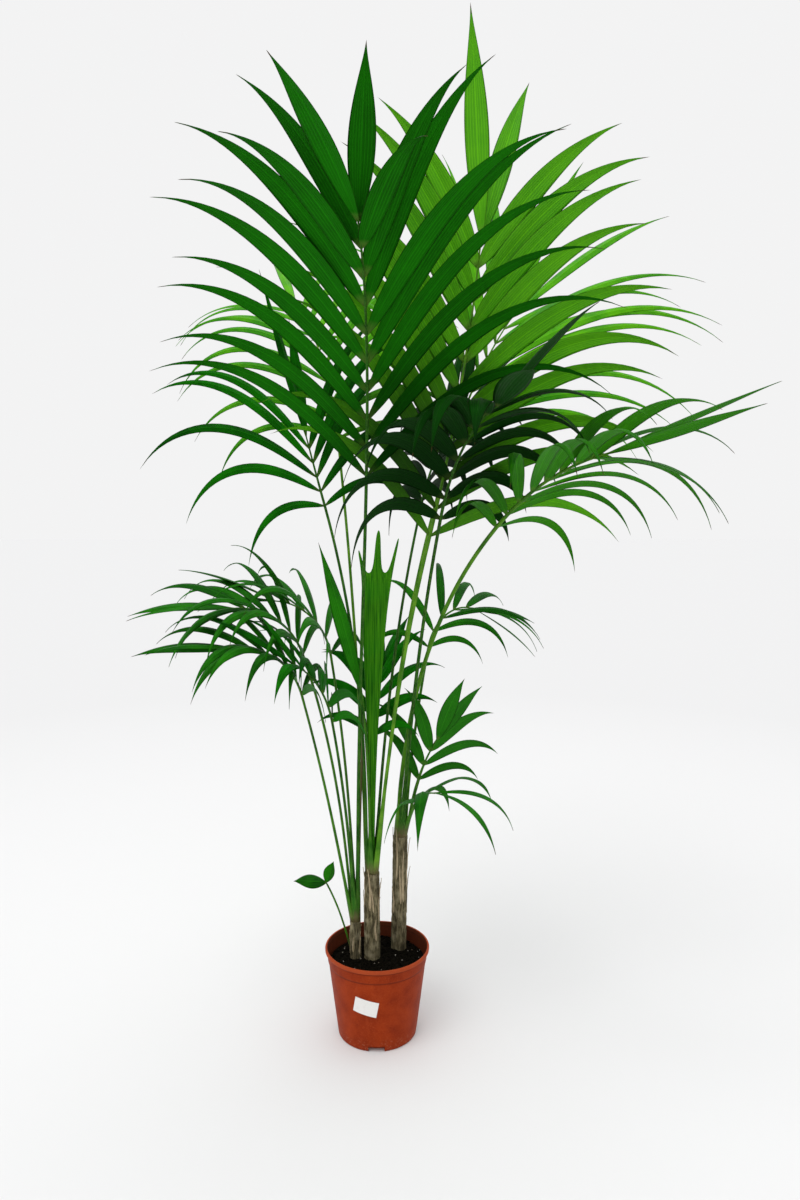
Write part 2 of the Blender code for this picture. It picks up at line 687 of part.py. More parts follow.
def grow_leaflet(bm, side_face, leaf, frame, curve):
    """Draw one leaflet out of a side face of the rachis."""
    point, forward, _, upper = frame
    order = {(True, True): 0, (False, True): 1, (False, False): 2, (True, False): 3}
    corners = []
    for vert in side_face.verts:
        offset = np.array(vert.co) - point
        corners.append(order[(np.dot(offset, forward) > 0.0, np.dot(offset, upper) > 0.0)])
    face = side_face
    for where in LEAF_STATIONS:
        face = bmesh.ops.extrude_discrete_faces(bm, faces=[face])["faces"][0]
        section = leaflet_section(curve, where, LEAF_THICK)
        for vert, corner in zip(face.verts, corners):
            vert.co = section[corner]
    tip = bmesh.ops.poke(bm, faces=[face])["verts"][0]
    tip.co = curve["points"][-1]


def make_leaf(leaf, leaflets, collection):
    """A stalk with its leaflets, as one closed body."""
    along, points, forward, side, upper = spine(leaf)
    stops, rings = stalk_sections(leaf)
    bm, cap = loft(rings)
    for where, side_sign, curve in leaflets:
        frame = [sample(along, values, where) for values in (points, forward, side, upper)]
        middle = frame[0] + side_sign * frame[2] * stalk_radius(leaf, where) * math.cos(math.pi / 6.0)
        bm.faces.ensure_lookup_table()
        quads = [face for face in bm.faces if len(face.verts) == 4]
        foot = min(quads, key=lambda face: np.linalg.norm(np.array(face.calc_center_median()) - middle))
        grow_leaflet(bm, foot, leaf, frame, curve)
    key = "seedling" if leaf["stem"] == "soil" else "leaf"
    return add_object(leaf["name"], mesh_from(bm, leaf["name"]), collection, key)


STUB = dict(LEAF_DEFAULTS, name="cut_stalk", stem="left", seat=30, heading=10, lean=(1, 3, 3),
            petiole=0.44, rachis=0.01, pairs=1)


def make_stub(collection):
    """An old leaf stalk, cut off at a slant."""
    along, points, forward, side, upper = spine(STUB)

    def frame_at(where):
        return [sample(along, values, where) for values in (points, forward, side, upper)]

    stops = np.linspace(0.0, STUB["petiole"], 7)
    rings = [stalk_ring(STUB, frame_at, stop, stop == 0.0) for stop in stops]
    slanted = []
    for index, point in enumerate(rings[-1]):
        slanted.append(point + np.array([0.0, 0.0, 0.004 * math.cos(math.radians(60.0 * index))]))
    rings[-1] = slanted
    bm, _ = loft(rings)
    return add_object("cut_stalk", mesh_from(bm, "cut_stalk"), collection, "stub")


def main():
    clear_scene()
    palm = make_collection("potted_palm")
    cutters = make_collection("cutters")
    solids = [make_pot(palm, cutters), make_soil(palm, cutters), make_label(palm)]
    for name, stem in STEMS.items():
        solids.append(make_stem(name, stem, palm))
    solids += [make_spear(palm), make_stub(palm)]
    leaves = [dict(LEAF_DEFAULTS, **leaf) for leaf in LEAVES]
    placed = [object_body(made) for made in solids]
    placed += [stalk_body(leaf) for leaf in leaves]
    for leaf in leaves:
        leaflets = place_leaflets(leaf, placed)
        make_leaf(leaf, leaflets, palm)
    for cutter in cutters.objects:
        cutter.hide_render = True
        cutter.display_type = "WIRE"


main()
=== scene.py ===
"""Potted palm, shown as it looks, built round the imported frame.

Metres, +Z up, -Y to the front. The layout of the leaves repeats that of the CAD
source, so every fine leaf follows its own CAD solid.
"""

import json
import math

import bmesh
import bpy
import numpy as np
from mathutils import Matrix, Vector, noise
from mathutils.bvhtree import BVHTree

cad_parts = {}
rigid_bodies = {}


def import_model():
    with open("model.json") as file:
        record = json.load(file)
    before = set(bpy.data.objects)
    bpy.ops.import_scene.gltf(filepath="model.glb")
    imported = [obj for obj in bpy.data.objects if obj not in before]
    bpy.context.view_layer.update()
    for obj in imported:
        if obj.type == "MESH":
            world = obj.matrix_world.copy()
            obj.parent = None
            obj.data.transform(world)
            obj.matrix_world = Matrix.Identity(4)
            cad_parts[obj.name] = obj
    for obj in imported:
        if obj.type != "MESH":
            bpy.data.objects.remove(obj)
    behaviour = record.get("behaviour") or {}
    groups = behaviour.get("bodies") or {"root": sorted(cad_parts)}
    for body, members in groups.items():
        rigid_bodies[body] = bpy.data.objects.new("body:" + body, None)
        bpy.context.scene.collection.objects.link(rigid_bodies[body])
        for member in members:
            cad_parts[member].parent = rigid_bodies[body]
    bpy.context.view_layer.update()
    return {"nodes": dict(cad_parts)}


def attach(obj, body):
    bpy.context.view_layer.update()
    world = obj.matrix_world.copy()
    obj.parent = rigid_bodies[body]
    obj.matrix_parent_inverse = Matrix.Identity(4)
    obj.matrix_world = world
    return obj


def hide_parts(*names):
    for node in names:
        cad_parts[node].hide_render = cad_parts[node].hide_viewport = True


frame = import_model()

# ---- driving dimensions (metres) -------------------------------------------

GAP = 0.0003                 # air between pieces that touch

POT_HEIGHT = 0.181
POT_RIM_RADIUS = 0.105
POT_BASE_RADIUS = 0.079
POT_WALL = 0.0018
RIM_HEIGHT = 0.008
RIM_PROUD = 0.0035
STEP_BELOW_TOP = 0.030       # stacking step on the outside
STEP_PROUD = 0.0010
FLOOR_CENTRE = 0.003         # floor thickness inside the drainage ring
FLOOR_RING = 0.0145          # floor thickness over the drainage notches
RING_INNER_RADIUS = 0.054
NOTCH_COUNT = 4
NOTCH_WIDTH = 0.032
NOTCH_HEIGHT = 0.012
NOTCH_DEPTH = 0.014

SOIL_EDGE = 0.152
SOIL_CENTRE = 0.160
SOCKET_DEPTH = 0.045

LEAF_THICK = 0.0012          # thickness at the midrib
LEAF_FOLD = 0.10             # height of the midrib ridge per half width
STALK_SIDES = 6
SOCKET_HALF = 0.0028         # half the length of a leaflet's foot on the rachis
CLEARANCE = 0.0006           # air kept round a leaflet while it is placed
LEAF_STATIONS = (0.05, 0.36, 0.70)

# ---- stems: foot and top (x, y), height of top, radii below and above ------

STEMS = {
    "main": dict(foot=(-0.010, -0.006), top=(-0.010, -0.006), height=0.337,
                 radius=(0.0165, 0.0150), rings=7),
    "right": dict(foot=(0.043, 0.036), top=(0.047, 0.028), height=0.400,
                  radius=(0.0160, 0.0145), rings=8),
    "left": dict(foot=(-0.043, -0.003), top=(-0.044, -0.003), height=0.234,
                 radius=(0.0120, 0.0105), rings=4),
}

# ---- leaves ----------------------------------------------------------------
# seat: degrees round the stem top (None: its middle); heading: degrees the leaf
# leans towards, swinging by sway; lean: degrees from upright at the foot, at the
# lowest leaflet and at the tip; roll: degrees the blade is turned about its stalk.

LEAF_DEFAULTS = dict(sway=0.0, roll=0.0, spread=(55.0, 22.0), lift=12.0, droop=90.0,
                     tip_spread=13.0, tip_droop=25.0, tip_length=0.85, low=0.8,
                     sides=(-1, 1), twist=12.0, wild=1.0, thick=1.0, cant=0.0,
                     taper=0.25, bias=0.0, tip_bias=0.0)

LEAVES = [
    dict(name="frond_front", stem="left", seat=330, heading=-66, sway=-28, lean=(0, 21.5, 60),
         petiole=0.89, rachis=0.47, pairs=10, leaflet=0.46, width=0.037, spread=(43, 17),
         lift=10, droop=80, seed=3, low=1.0, taper=0.50, cant=-2, bias=0.12, wild=0.5, twist=15,
         tip_length=0.56, tip_spread=8, tip_bias=-0.12, thick=1.15),
    dict(name="frond_top", stem="main", seat=315, heading=-45, lean=(8, 18, 7), roll=-45,
         petiole=0.68, rachis=0.52, pairs=11, leaflet=0.42, width=0.038, spread=(48, 24),
         lift=10, droop=85, seed=4, low=0.9, taper=0.30, wild=0.7, twist=18,
         tip_length=0.78, tip_spread=8.5, tip_bias=-0.06, thick=1.15),
    dict(name="frond_back_right", stem="main", seat=6, heading=34, lean=(6, 21, 40), roll=50,
         petiole=0.86, rachis=0.32, pairs=9, leaflet=0.54, width=0.024, spread=(50, 25),
         lift=10, droop=90, seed=5, twist=16),
    dict(name="frond_back_left", stem="main", seat=160, heading=122, lean=(4, 12, 57), roll=-20,
         petiole=0.86, rachis=0.36, pairs=10, leaflet=0.36, width=0.020, spread=(65, 30),
         lift=15, droop=110, seed=6),
    dict(name="frond_left", stem="main", seat=200, heading=189, lean=(0, 15, 14), roll=-60,
         petiole=0.73, rachis=0.14, pairs=6, leaflet=0.42, width=0.022, spread=(66, 20),
         lift=10, droop=130, seed=7, low=0.55, taper=0.45, tip_length=0.62, tip_spread=8,
         tip_bias=0.16, tip_droop=5),
    dict(name="frond_right", stem="right", seat=220, heading=-42, lean=(5, 44, 79), roll=-15,
         petiole=0.68, rachis=0.26, pairs=9, leaflet=0.31, width=0.028, spread=(60, 14),
         lift=10, droop=120, seed=8, tip_length=0.88, tip_spread=9, tip_droop=4,
         thick=1.4),
    dict(name="frond_front_right", stem="right", seat=275, heading=-66, lean=(10, 22, 75),
         petiole=0.66, rachis=0.28, pairs=8, leaflet=0.27, width=0.040, spread=(60, 30),
         lift=10, droop=160, seed=9, twist=18, wild=0.7, bias=-0.2, thick=1.15),
    dict(name="frond_low_left_a", stem="left", seat=150, heading=192, lean=(4, 18, 96), roll=-20,
         petiole=0.55, rachis=0.18, pairs=8, leaflet=0.24, width=0.022, spread=(60, 18),
         lift=20, droop=130, seed=10),
    dict(name="frond_low_left_b", stem="left", seat=210, heading=206, lean=(10, 15, 92), roll=-20,
         petiole=0.48, rachis=0.17, pairs=7, leaflet=0.23, width=0.023, spread=(60, 18),
         lift=20, droop=130, seed=11),
    dict(name="frond_low_left_c", stem="left", seat=270, heading=222, lean=(4, 12, 62), roll=-20,
         petiole=0.42, rachis=0.16, pairs=6, leaflet=0.22, width=0.024, spread=(60, 18),
         lift=20, droop=120, seed=12),
    dict(name="frond_low_left_d", stem="left", seat=90, heading=175, lean=(2, 9, 90),
         petiole=0.54, rachis=0.17, pairs=6, leaflet=0.23, width=0.024, spread=(60, 18),
         lift=20, droop=120, seed=16),
    dict(name="frond_low_right", stem="right", seat=5, heading=-20, lean=(10, 17, 33), roll=-60,
         petiole=0.12, rachis=0.10, pairs=4, leaflet=0.17, width=0.028, spread=(50, 18),
         lift=20, droop=90, seed=13),
    dict(name="frond_low_middle", stem="main", seat=109, heading=75, lean=(4, 10, 40),
         petiole=0.27, rachis=0.14, pairs=5, leaflet=0.17, width=0.026, spread=(55, 20),
         lift=20, droop=90, seed=17),
    dict(name="frond_young", stem="right", seat=318, heading=-24, lean=(12, 30, 95), roll=-10,
         petiole=0.08, rachis=0.05, pairs=3, leaflet=0.23, width=0.028, spread=(72, 40),
         lift=8, droop=135, seed=14, tip_spread=20, tip_droop=105),
    dict(name="frond_mid_right", stem="right", seat=60, heading=35, lean=(7, 13, 120), roll=30,
         petiole=0.38, rachis=0.17, pairs=6, leaflet=0.21, width=0.018, spread=(60, 25),
         lift=20, droop=120, seed=15),
    dict(name="frond_mid_back", stem="main", seat=58, heading=25, lean=(4, 14, 40),
         petiole=0.74, rachis=0.20, pairs=7, leaflet=0.24, width=0.034, spread=(60, 30),
         lift=10, droop=170, seed=18),
    dict(name="leaf_undivided", stem="main", seat=255, heading=195, lean=(0, 6, 8), roll=-80,
         petiole=0.36, rachis=0.012, pairs=1, leaflet=0.36, width=0.031, seed=19,
         tip_spread=9, tip_droop=10, sides=(1,)),
    dict(name="seedling", stem="soil", foot=(-0.055, 0.030), heading=205, lean=(14, 26, 28),
         roll=-60, petiole=0.155, rachis=0.010, pairs=1, leaflet=0.080, width=0.026, seed=20,
         tip_spread=45, tip_droop=6, tip_bias=0.35, thick=0.7),
]

# petiole radius at the foot, at the lowest leaflet and at the rachis tip
STALK_RADII = (0.0032, 0.0026, 0.0013)
SEAT_CLEAR = 0.0105          # ring of leaf feet on the main and right stems
SEAT_CLEAR_SMALL = 0.0068    # ring of leaf feet on the left stem


# ---- layout of the leaves, as in the CAD source ----------------------------

def wall_radius(z):
    """Outside radius of the pot's plain wall at a height."""
    low = POT_BASE_RADIUS
    high = POT_RIM_RADIUS - RIM_PROUD
    return low + (high - low) * z / POT_HEIGHT


def inner_radius(z):
    return wall_radius(z) - POT_WALL


def soil_height(x, y):
    """Height of the soil surface: mounded to the middle."""
    share = min(math.hypot(x, y) / inner_radius(SOIL_EDGE), 1.0)
    return SOIL_EDGE + (SOIL_CENTRE - SOIL_EDGE) * (1.0 - share * share)


def unit(vector):
    return vector / np.linalg.norm(vector)


def turned(vector, axis, angle):
    """The vector turned about a unit axis by an angle in radians."""
    return (vector * math.cos(angle) + np.cross(axis, vector) * math.sin(angle)
            + axis * np.dot(axis, vector) * (1.0 - math.cos(angle)))


def leaf_foot(leaf):
    """Where the leaf's stalk stands: on a stem's flat top, or on the soil."""
    if leaf["stem"] == "soil":
        x, y = leaf["foot"]
        return np.array([x, y, soil_height(x, y) + GAP])
    stem = STEMS[leaf["stem"]]
    x, y = stem["top"]
    if leaf["seat"] is not None:
        ring = SEAT_CLEAR_SMALL if leaf["stem"] == "left" else SEAT_CLEAR
        x += ring * math.cos(math.radians(leaf["seat"]))
        y += ring * math.sin(math.radians(leaf["seat"]))
    return np.array([x, y, stem["height"] + GAP])


def spine(leaf, count=60):
    """Distances, points, directions, side and upper directions along the stalk."""
    petiole, rachis = leaf["petiole"], leaf["rachis"]
    total = petiole + rachis
    along = np.linspace(0.0, total, 2 * count + 1)
    low, middle, high = leaf["lean"]
    rise = np.clip(along / petiole, 0.0, 1.0) ** 1.5
    bend = np.clip((along - petiole) / rachis, 0.0, 1.0) ** 1.15
    lean = np.radians(low + (middle - low) * rise + (high - middle) * bend)
    heading = np.radians(leaf["heading"] + leaf["sway"] * along / total)
    forward = np.c_[np.sin(lean) * np.cos(heading), np.sin(lean) * np.sin(heading), np.cos(lean)]
    flat = np.c_[-np.sin(heading), np.cos(heading), 0.0 * heading]
    upper = np.cross(forward, flat)
    roll = np.clip(along / petiole, 0.0, 1.0)[:, None] * math.radians(leaf["roll"])
    side = flat * np.cos(roll) + upper * np.sin(roll)
    upper = upper * np.cos(roll) - flat * np.sin(roll)
    steps = (forward[1:] + forward[:-1]) / 2.0 * np.diff(along)[:, None]
    points = np.vstack([np.zeros(3), np.cumsum(steps, axis=0)]) + leaf_foot(leaf)
    return along, points, forward, side, upper


def sample(along, values, where):
    return np.array([np.interp(where, along, values[:, axis]) for axis in range(3)])


def row_at(line, where):
    """Point, direction, side and upper direction of a spine at a distance along it."""
    along, *columns = line
    return [sample(along, values, where) for values in columns]


def stalk_radius(leaf, where):
    share = (0.0, leaf["petiole"], leaf["petiole"] + leaf["rachis"])
    return leaf["thick"] * np.interp(where, share, STALK_RADII)


def leaflet_curve(leaf, row, draw, share, side_sign, last, swing, steps=14):
    """Centre line, normals and half widths of one leaflet, drooping as it goes."""
    foot, forward, side, upper = row
    wild = leaf["wild"]
    longest = leaf["low"] + (1.0 - leaf["low"]) * math.sin(min(share / 0.45, 1.0) * math.pi / 2.0)
    length = leaf["leaflet"] * longest
    length *= 1.0 - leaf["taper"] * max(0.0, (share - 0.45) / 0.55) ** 1.5
    length *= 1.0 + 0.05 * draw[0] * wild + leaf["bias"] * side_sign * (1.0 - share)
    low, high = leaf["spread"]
    spread = low + (high - low) * share ** 0.8 + 3.0 * draw[1] * wild
    lift = leaf["lift"] * (1.0 - 0.5 * share) + 5.0 * draw[2] * wild
    width = leaf["width"] * (0.72 + 0.28 * math.sin(min(share / 0.6, 1.0) * math.pi / 2.0))
    droop = leaf["droop"] * (1.0 - 0.45 * share) * (1.0 + 0.12 * draw[3] * wild)
    if last:
        length = leaf["leaflet"] * leaf["tip_length"] * (1.0 + leaf["tip_bias"] * side_sign)
        width = leaf["width"] * 1.05
        spread = leaf["tip_spread"] + 1.5 * draw[1]
        droop = leaf["tip_droop"]
    spread = math.radians(spread + side_sign * leaf["cant"] + swing[0])
    lift = math.radians(lift)
    out = side_sign * side * math.cos(lift) + upper * math.sin(lift)
    heading = unit(math.cos(spread) * forward + math.sin(spread) * out)
    heading = turned(heading, unit(np.cross(heading, upper)), math.radians(swing[1]))
    normal = unit(upper - np.dot(upper, heading) * heading)
    normal = turned(normal, heading, math.radians(side_sign * leaf["twist"] + 4.0 * draw[4] * wild))
    points, normals, headings = [foot], [normal], [heading]
    down = np.array([0.0, 0.0, -1.0])
    for index in range(steps):
        middle = (index + 0.5) / steps
        axis = np.cross(heading, down)
        size = np.linalg.norm(axis)
        if size > 1e-6:
            turn = math.radians(droop) * 1.9 * middle ** 0.9 / steps * size
            heading = turned(heading, axis / size, turn)
            normal = turned(normal, axis / size, turn)
        points.append(points[-1] + heading * length / steps)
        normals.append(normal)
        headings.append(heading)
    share = np.linspace(0.0, 1.0, steps + 1)
    skew = 0.85 if last else 0.68
    half = 0.5 * width * np.maximum(np.sin(math.pi * share ** skew), 0.0) ** (0.8 + 0.5 * share)
    half = np.maximum(half, 0.07 * width * (1.0 - share))
    points, normals = np.array(points), np.array(normals)
    across = side_sign * np.cross(np.array(headings), normals)
    return dict(share=share, points=points, normals=normals, across=across, half=half)


def leaflet_section(curve, where, thick, extra=0.0):
    """Four points of the folded blade: front edge, midrib top, back edge, midrib below."""
    point = sample(curve["share"], curve["points"], where)
    normal = unit(sample(curve["share"], curve["normals"], where))
    across = unit(sample(curve["share"], curve["across"], where))
    half = np.interp(where, curve["share"], curve["half"]) + extra
    ridge = LEAF_FOLD * half
    return [point + across * half - normal * ridge,
            point + normal * (ridge + 0.5 * thick),
            point - across * half - normal * ridge,
            point + normal * (ridge - 0.5 * thick)]


def band_faces(count, size):
    """Faces between the equal rings of an open tube."""
    faces = []
    for start in range(0, size * (count - 1), size):
        for corner in range(size):
            here, there = start + corner, start + (corner + 1) % size
            faces.append((here, there, there + size, here + size))
    return faces


def test_body(curve, owner, stations):
    """A slightly swollen stretch of a leaflet, to see what it would touch."""
    rings = []
    for where in stations:
        rings += leaflet_section(curve, where, LEAF_THICK + 2.0 * CLEARANCE, CLEARANCE)
    top = len(rings) - 4
    ends = [(0, 1, 2, 3), (top + 3, top + 2, top + 1, top)]
    return body_of(owner, np.array(rings), ends + band_faces(len(stations), 4))


def body_of(owner, points, faces):
    """A search tree for a body, with its owner's name and its box."""
    tree = BVHTree.FromPolygons([tuple(point) for point in points], faces)
    return owner, tree, points.min(axis=0), points.max(axis=0)


def is_clear(body, placed, skip=None):
    _, tree, low, high = body
    for owner, other, other_low, other_high in placed:
        if owner == skip or np.any(low > other_high) or np.any(high < other_low):
            continue
        if tree.overlap(other):
            return False
    return True


def swings():
    """Small changes of a leaflet's angle to try, the smallest first."""
    steps = [0.0]
    for size in (3.0, 6.0, 9.0, 13.0, 18.0, 24.0, 31.0, 40.0):
        steps += [size, -size]
    pairs = [(first, second) for first in steps for second in steps]
    return sorted(pairs, key=lambda pair: (abs(pair[0]) * 1.5 + max(pair[1], -2.0 * pair[1]), pair))


def leaflet_places(leaf):
    """Distance along the stalk and share of the rachis of every leaflet pair."""
    count = leaf["pairs"]
    places = []
    for index in range(count):
        share = index / (count - 1) if count > 1 else 1.0
        where = leaf["petiole"] + leaf["rachis"] * (0.02 + 0.98 * share)
        last = index == count - 1
        if last:
            where -= SOCKET_HALF + 0.0008
        places.append((where, share, last))
    return places


def place_leaflets(leaf, placed):
    """Give every leaflet of a leaf a shape that passes clear of what is placed."""
    draws = np.random.default_rng(leaf["seed"])
    line = spine(leaf)
    leaflets = []
    for where, share, last in leaflet_places(leaf):
        row = row_at(line, where)
        for side_sign in (-1, 1):
            draw = draws.normal(size=6)
            if last and side_sign not in leaf["sides"]:
                continue
            for swing in swings():
                curve = leaflet_curve(leaf, row, draw, share, side_sign, last, swing)
                root = test_body(curve, leaf["name"], (0.0, LEAF_STATIONS[0]))
                blade = test_body(curve, leaf["name"], LEAF_STATIONS + (1.0,))
                if is_clear(blade, placed) and is_clear(root, placed, leaf["name"]):
                    placed += [root, blade]
                    leaflets.append((side_sign, curve))
                    break
    return leaflets


def stalk_ring(leaf, line, where):
    """Corners round the stalk, level at its foot."""
    point, _, side, upper = row_at(line, where)
    radius = stalk_radius(leaf, where)
    ring = []
    for index in range(STALK_SIDES):
        angle = math.radians(30.0 + 60.0 * index)
        offset = radius * (math.cos(angle) * side + math.sin(angle) * upper)
        if where == 0.0:
            offset[2] = 0.0
        ring.append(point + offset)
    return ring


def stalk_body(leaf):
    """The bare stalk, to keep clear of: rings up the petiole, then two at each leaflet pair."""
    line = spine(leaf)
    places = leaflet_places(leaf)
    stops = list(np.linspace(0.0, places[0][0] - 0.006, 7))
    for where, _, _ in places:
        stops += [where - SOCKET_HALF, where + SOCKET_HALF]
    points = np.vstack([stalk_ring(leaf, line, stop) for stop in stops])
    return body_of(leaf["name"], points, band_faces(len(stops), STALK_SIDES))


def object_body(made):
    mesh = made.data
    points = np.array([tuple(vert.co) for vert in mesh.vertices])
    return body_of(made.name, points, [tuple(face.vertices) for face in mesh.polygons])


# ---- shapes of many bodies -------------------------------------------------

def new_object(name, data):
    """A linked object round a mesh, light or camera, or round the shape in a bmesh."""
    if isinstance(data, bmesh.types.BMesh):
        source, data = data, bpy.data.meshes.new(name)
        source.to_mesh(data)
        source.free()
    made = bpy.data.objects.new(name, data)
    bpy.context.scene.collection.objects.link(made)
    return made


def bake_modifiers(made):
    """Give an object the mesh that its modifiers make, and drop them."""
    graph = bpy.context.evaluated_depsgraph_get()
    mesh = bpy.data.meshes.new_from_object(made.evaluated_get(graph))
    made.modifiers.clear()
    made.data = mesh


class Shape:
    """Gathers closed bodies, with their texture places and tones, for one piece."""

    def __init__(self):
        self.points, self.faces, self.places, self.tones, self.slots = [], [], [], [], []

    def add(self, points, faces, places, tone=0.0, slot=0):
        start = len(self.points)
        self.points += [tuple(point) for point in points]
        self.faces += [tuple(start + corner for corner in face) for face in faces]
        self.places += places
        self.tones += [tone] * len(points)
        self.slots += [slot] * len(faces)

    def add_tube(self, rings, along, reverse=False):
        """A closed tube, with texture places round it and along it."""
        points, faces = tube(rings, reverse)
        self.add(points, faces, tube_places(faces, len(rings[0]), along))

    def build(self, name, materials, replaces=None):
        mesh = bpy.data.meshes.new(name)
        mesh.from_pydata(self.points, [], self.faces)
        layer = mesh.uv_layers.new(name="grain")
        layer.data.foreach_set("uv", np.array(self.places, dtype=np.float32).ravel())
        tone = mesh.attributes.new("tone", "FLOAT", "POINT")
        tone.data.foreach_set("value", np.array(self.tones, dtype=np.float32))
        for material in materials:
            mesh.materials.append(material)
        mesh.polygons.foreach_set("material_index", np.array(self.slots, dtype=np.int32))
        mesh.polygons.foreach_set("use_smooth", np.full(len(mesh.polygons), True))
        mesh.update()
        finish_piece(new_object(name, mesh), replaces)


def finish_piece(made, replaces=None):
    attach(made, "root")
    if replaces:
        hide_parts(replaces)


def paint(node, material):
    """Give a CAD solid that stays a finer material."""
    for slot in frame["nodes"][node].material_slots:
        slot.material = material


def tube(rings, reverse=False):
    """Faces of a closed body over equal rings, with a middle point at both ends."""
    count, size = len(rings), len(rings[0])
    points = np.vstack([np.vstack(rings), rings[0].mean(axis=0), rings[-1].mean(axis=0)])
    first, last = count * size, count * size + 1
    top = size * (count - 1)
    faces = [(first, (corner + 1) % size, corner) for corner in range(size)]
    faces += band_faces(count, size)
    faces += [(last, top + corner, top + (corner + 1) % size) for corner in range(size)]
    if reverse:
        faces = [face[::-1] for face in faces]
    return points, faces


def tube_places(faces, size, along):
    """Texture places of a tube's corners: around its ring, and along it."""
    places = []
    first = size * len(along)
    for face in faces:
        corners = [index % size for index in face if index < first]
        wraps = 0 in corners and size - 1 in corners
        for index in face:
            ring, corner = divmod(index, size)
            if index >= first:
                places.append((0.5, along[0 if index == first else -1]))
            else:
                places.append((1.0 if wraps and corner == 0 else corner / size, along[ring]))
    return places


def smooth_rows(values, where):
    """A smooth curve through equally spaced rows, at shares from 0 to 1."""
    values = np.asarray(values, dtype=float)
    count = len(values) - 1
    place = np.clip(np.asarray(where) * count, 0.0, count - 1e-9)
    index = place.astype(int)
    step = (place - index)[:, None]
    padded = np.vstack([2.0 * values[0] - values[1], values, 2.0 * values[-1] - values[-2]])
    before, here, there, after = (padded[index + shift] for shift in range(4))
    curve = 2.0 * here + (there - before) * step
    curve += (2.0 * before - 5.0 * here + 4.0 * there - after) * step ** 2
    curve += (3.0 * here - before - 3.0 * there + after) * step ** 3
    return 0.5 * curve


def unit_rows(rows):
    return rows / np.linalg.norm(rows, axis=1)[:, None]


# ---- fine leaves -----------------------------------------------------------

BLADE_RINGS = 26
BLADE_ACROSS = (-1.0, -0.74, -0.44, -0.14, 0.0, 0.14, 0.44, 0.74, 1.0)
BLADE_THICK = 0.0005
BLADE_FOLD = 0.13
BLADE_END = 0.985
STALK_RING = 14
SHEATH_HALF = 0.0075         # half width of a stalk where it clasps the stem
SHEATH_LENGTH = 0.085
GROOVE = 0.24                # depth of the groove along a petiole, share of its radius


def blade_ring(point, normal, across, half, share):
    """The blade's section: folded at the midrib, thin, sharp at both edges."""
    thick = BLADE_THICK + 0.0016 * math.exp(-share / 0.02)
    ridge = BLADE_FOLD * half
    upper, lower = [], []
    for place in BLADE_ACROSS:
        height = ridge * (1.0 - 2.0 * abs(place)) + 0.10 * half * place * place * (1.0 - abs(place))
        depth = 0.5 * thick * math.sqrt(max(1.0 - place * place, 0.0))
        rib = 0.0004 if place == 0.0 else 0.0
        middle = point + across * half * place
        upper.append(middle + normal * (height + depth + rib))
        lower.append(middle + normal * (height - depth))
    return np.array(upper + lower[-2:0:-1])


def add_blade(shape, curve, side_sign, tone):
    """One leaflet as a closed thin body that ends in a fine point."""
    where = np.linspace(0.0, BLADE_END, BLADE_RINGS)
    points = smooth_rows(curve["points"], where)
    normals = unit_rows(smooth_rows(curve["normals"], where))
    across = unit_rows(smooth_rows(curve["across"], where))
    half = np.maximum(smooth_rows(curve["half"][:, None], where)[:, 0], 0.00025)
    rings = [blade_ring(*row) for row in zip(points, normals, across, half, where)]
    verts, faces = tube(rings, side_sign < 0)
    verts[-1] = curve["points"][-1]
    size, first = len(rings[0]), len(rings[0]) * len(rings)
    lanes = [0.5 + 0.5 * place for place in BLADE_ACROSS]
    lanes += lanes[-2:0:-1]
    places = []
    for face in faces:
        below = any(index < first and index % size >= len(BLADE_ACROSS) for index in face)
        for index in face:
            ring, corner = divmod(index, size)
            place = (lanes[corner], where[ring]) if index < first else (0.5, float(index > first))
            places.append((place[0], place[1] + 2.0 * below))
    shape.add(verts, faces, places, tone, 1)


def stalk_section(leaf, row, where, seat_side):
    """A round stalk with a groove above, widening to clasp the stem at its foot."""
    point, forward, side, upper = row
    radius = stalk_radius(leaf, where)
    clasp = math.exp(-(where / SHEATH_LENGTH) ** 2) if seat_side is not None else 0.0
    wide = side if clasp == 0.0 else unit(side * (1.0 - clasp) + seat_side * clasp)
    wide = unit(wide - np.dot(wide, forward) * forward)
    high = np.cross(forward, wide)
    if np.dot(high, upper) < 0.0:
        wide, high = -wide, -high
    flare = radius + (SHEATH_HALF - radius) * clasp
    groove = GROOVE if where < leaf["petiole"] else 0.08
    ring = []
    for index in range(STALK_RING):
        angle = 2.0 * math.pi * index / STALK_RING
        dent = 1.0 - groove * math.exp(-((angle - 0.5 * math.pi) / 0.45) ** 2)
        ring.append(point + wide * flare * math.cos(angle) + high * radius * math.sin(angle) * dent)
    return np.array(ring)


def add_stalk(shape, leaf):
    line = spine(leaf)
    total = leaf["petiole"] + leaf["rachis"]
    stops = np.concatenate([np.linspace(0.0, leaf["petiole"], 34)[:-1],
                            np.linspace(leaf["petiole"], total - 0.001, 20)])
    seat_side = None
    if leaf["stem"] != "soil" and leaf["seat"] is not None:
        seat = math.radians(leaf["seat"])
        seat_side = np.array([-math.sin(seat), math.cos(seat), 0.0])
        if np.dot(seat_side, line[3][0]) < 0.0:
            seat_side = -seat_side
    rings = [stalk_section(leaf, row_at(line, where), where, seat_side) for where in stops]
    shape.add_tube(rings, stops)


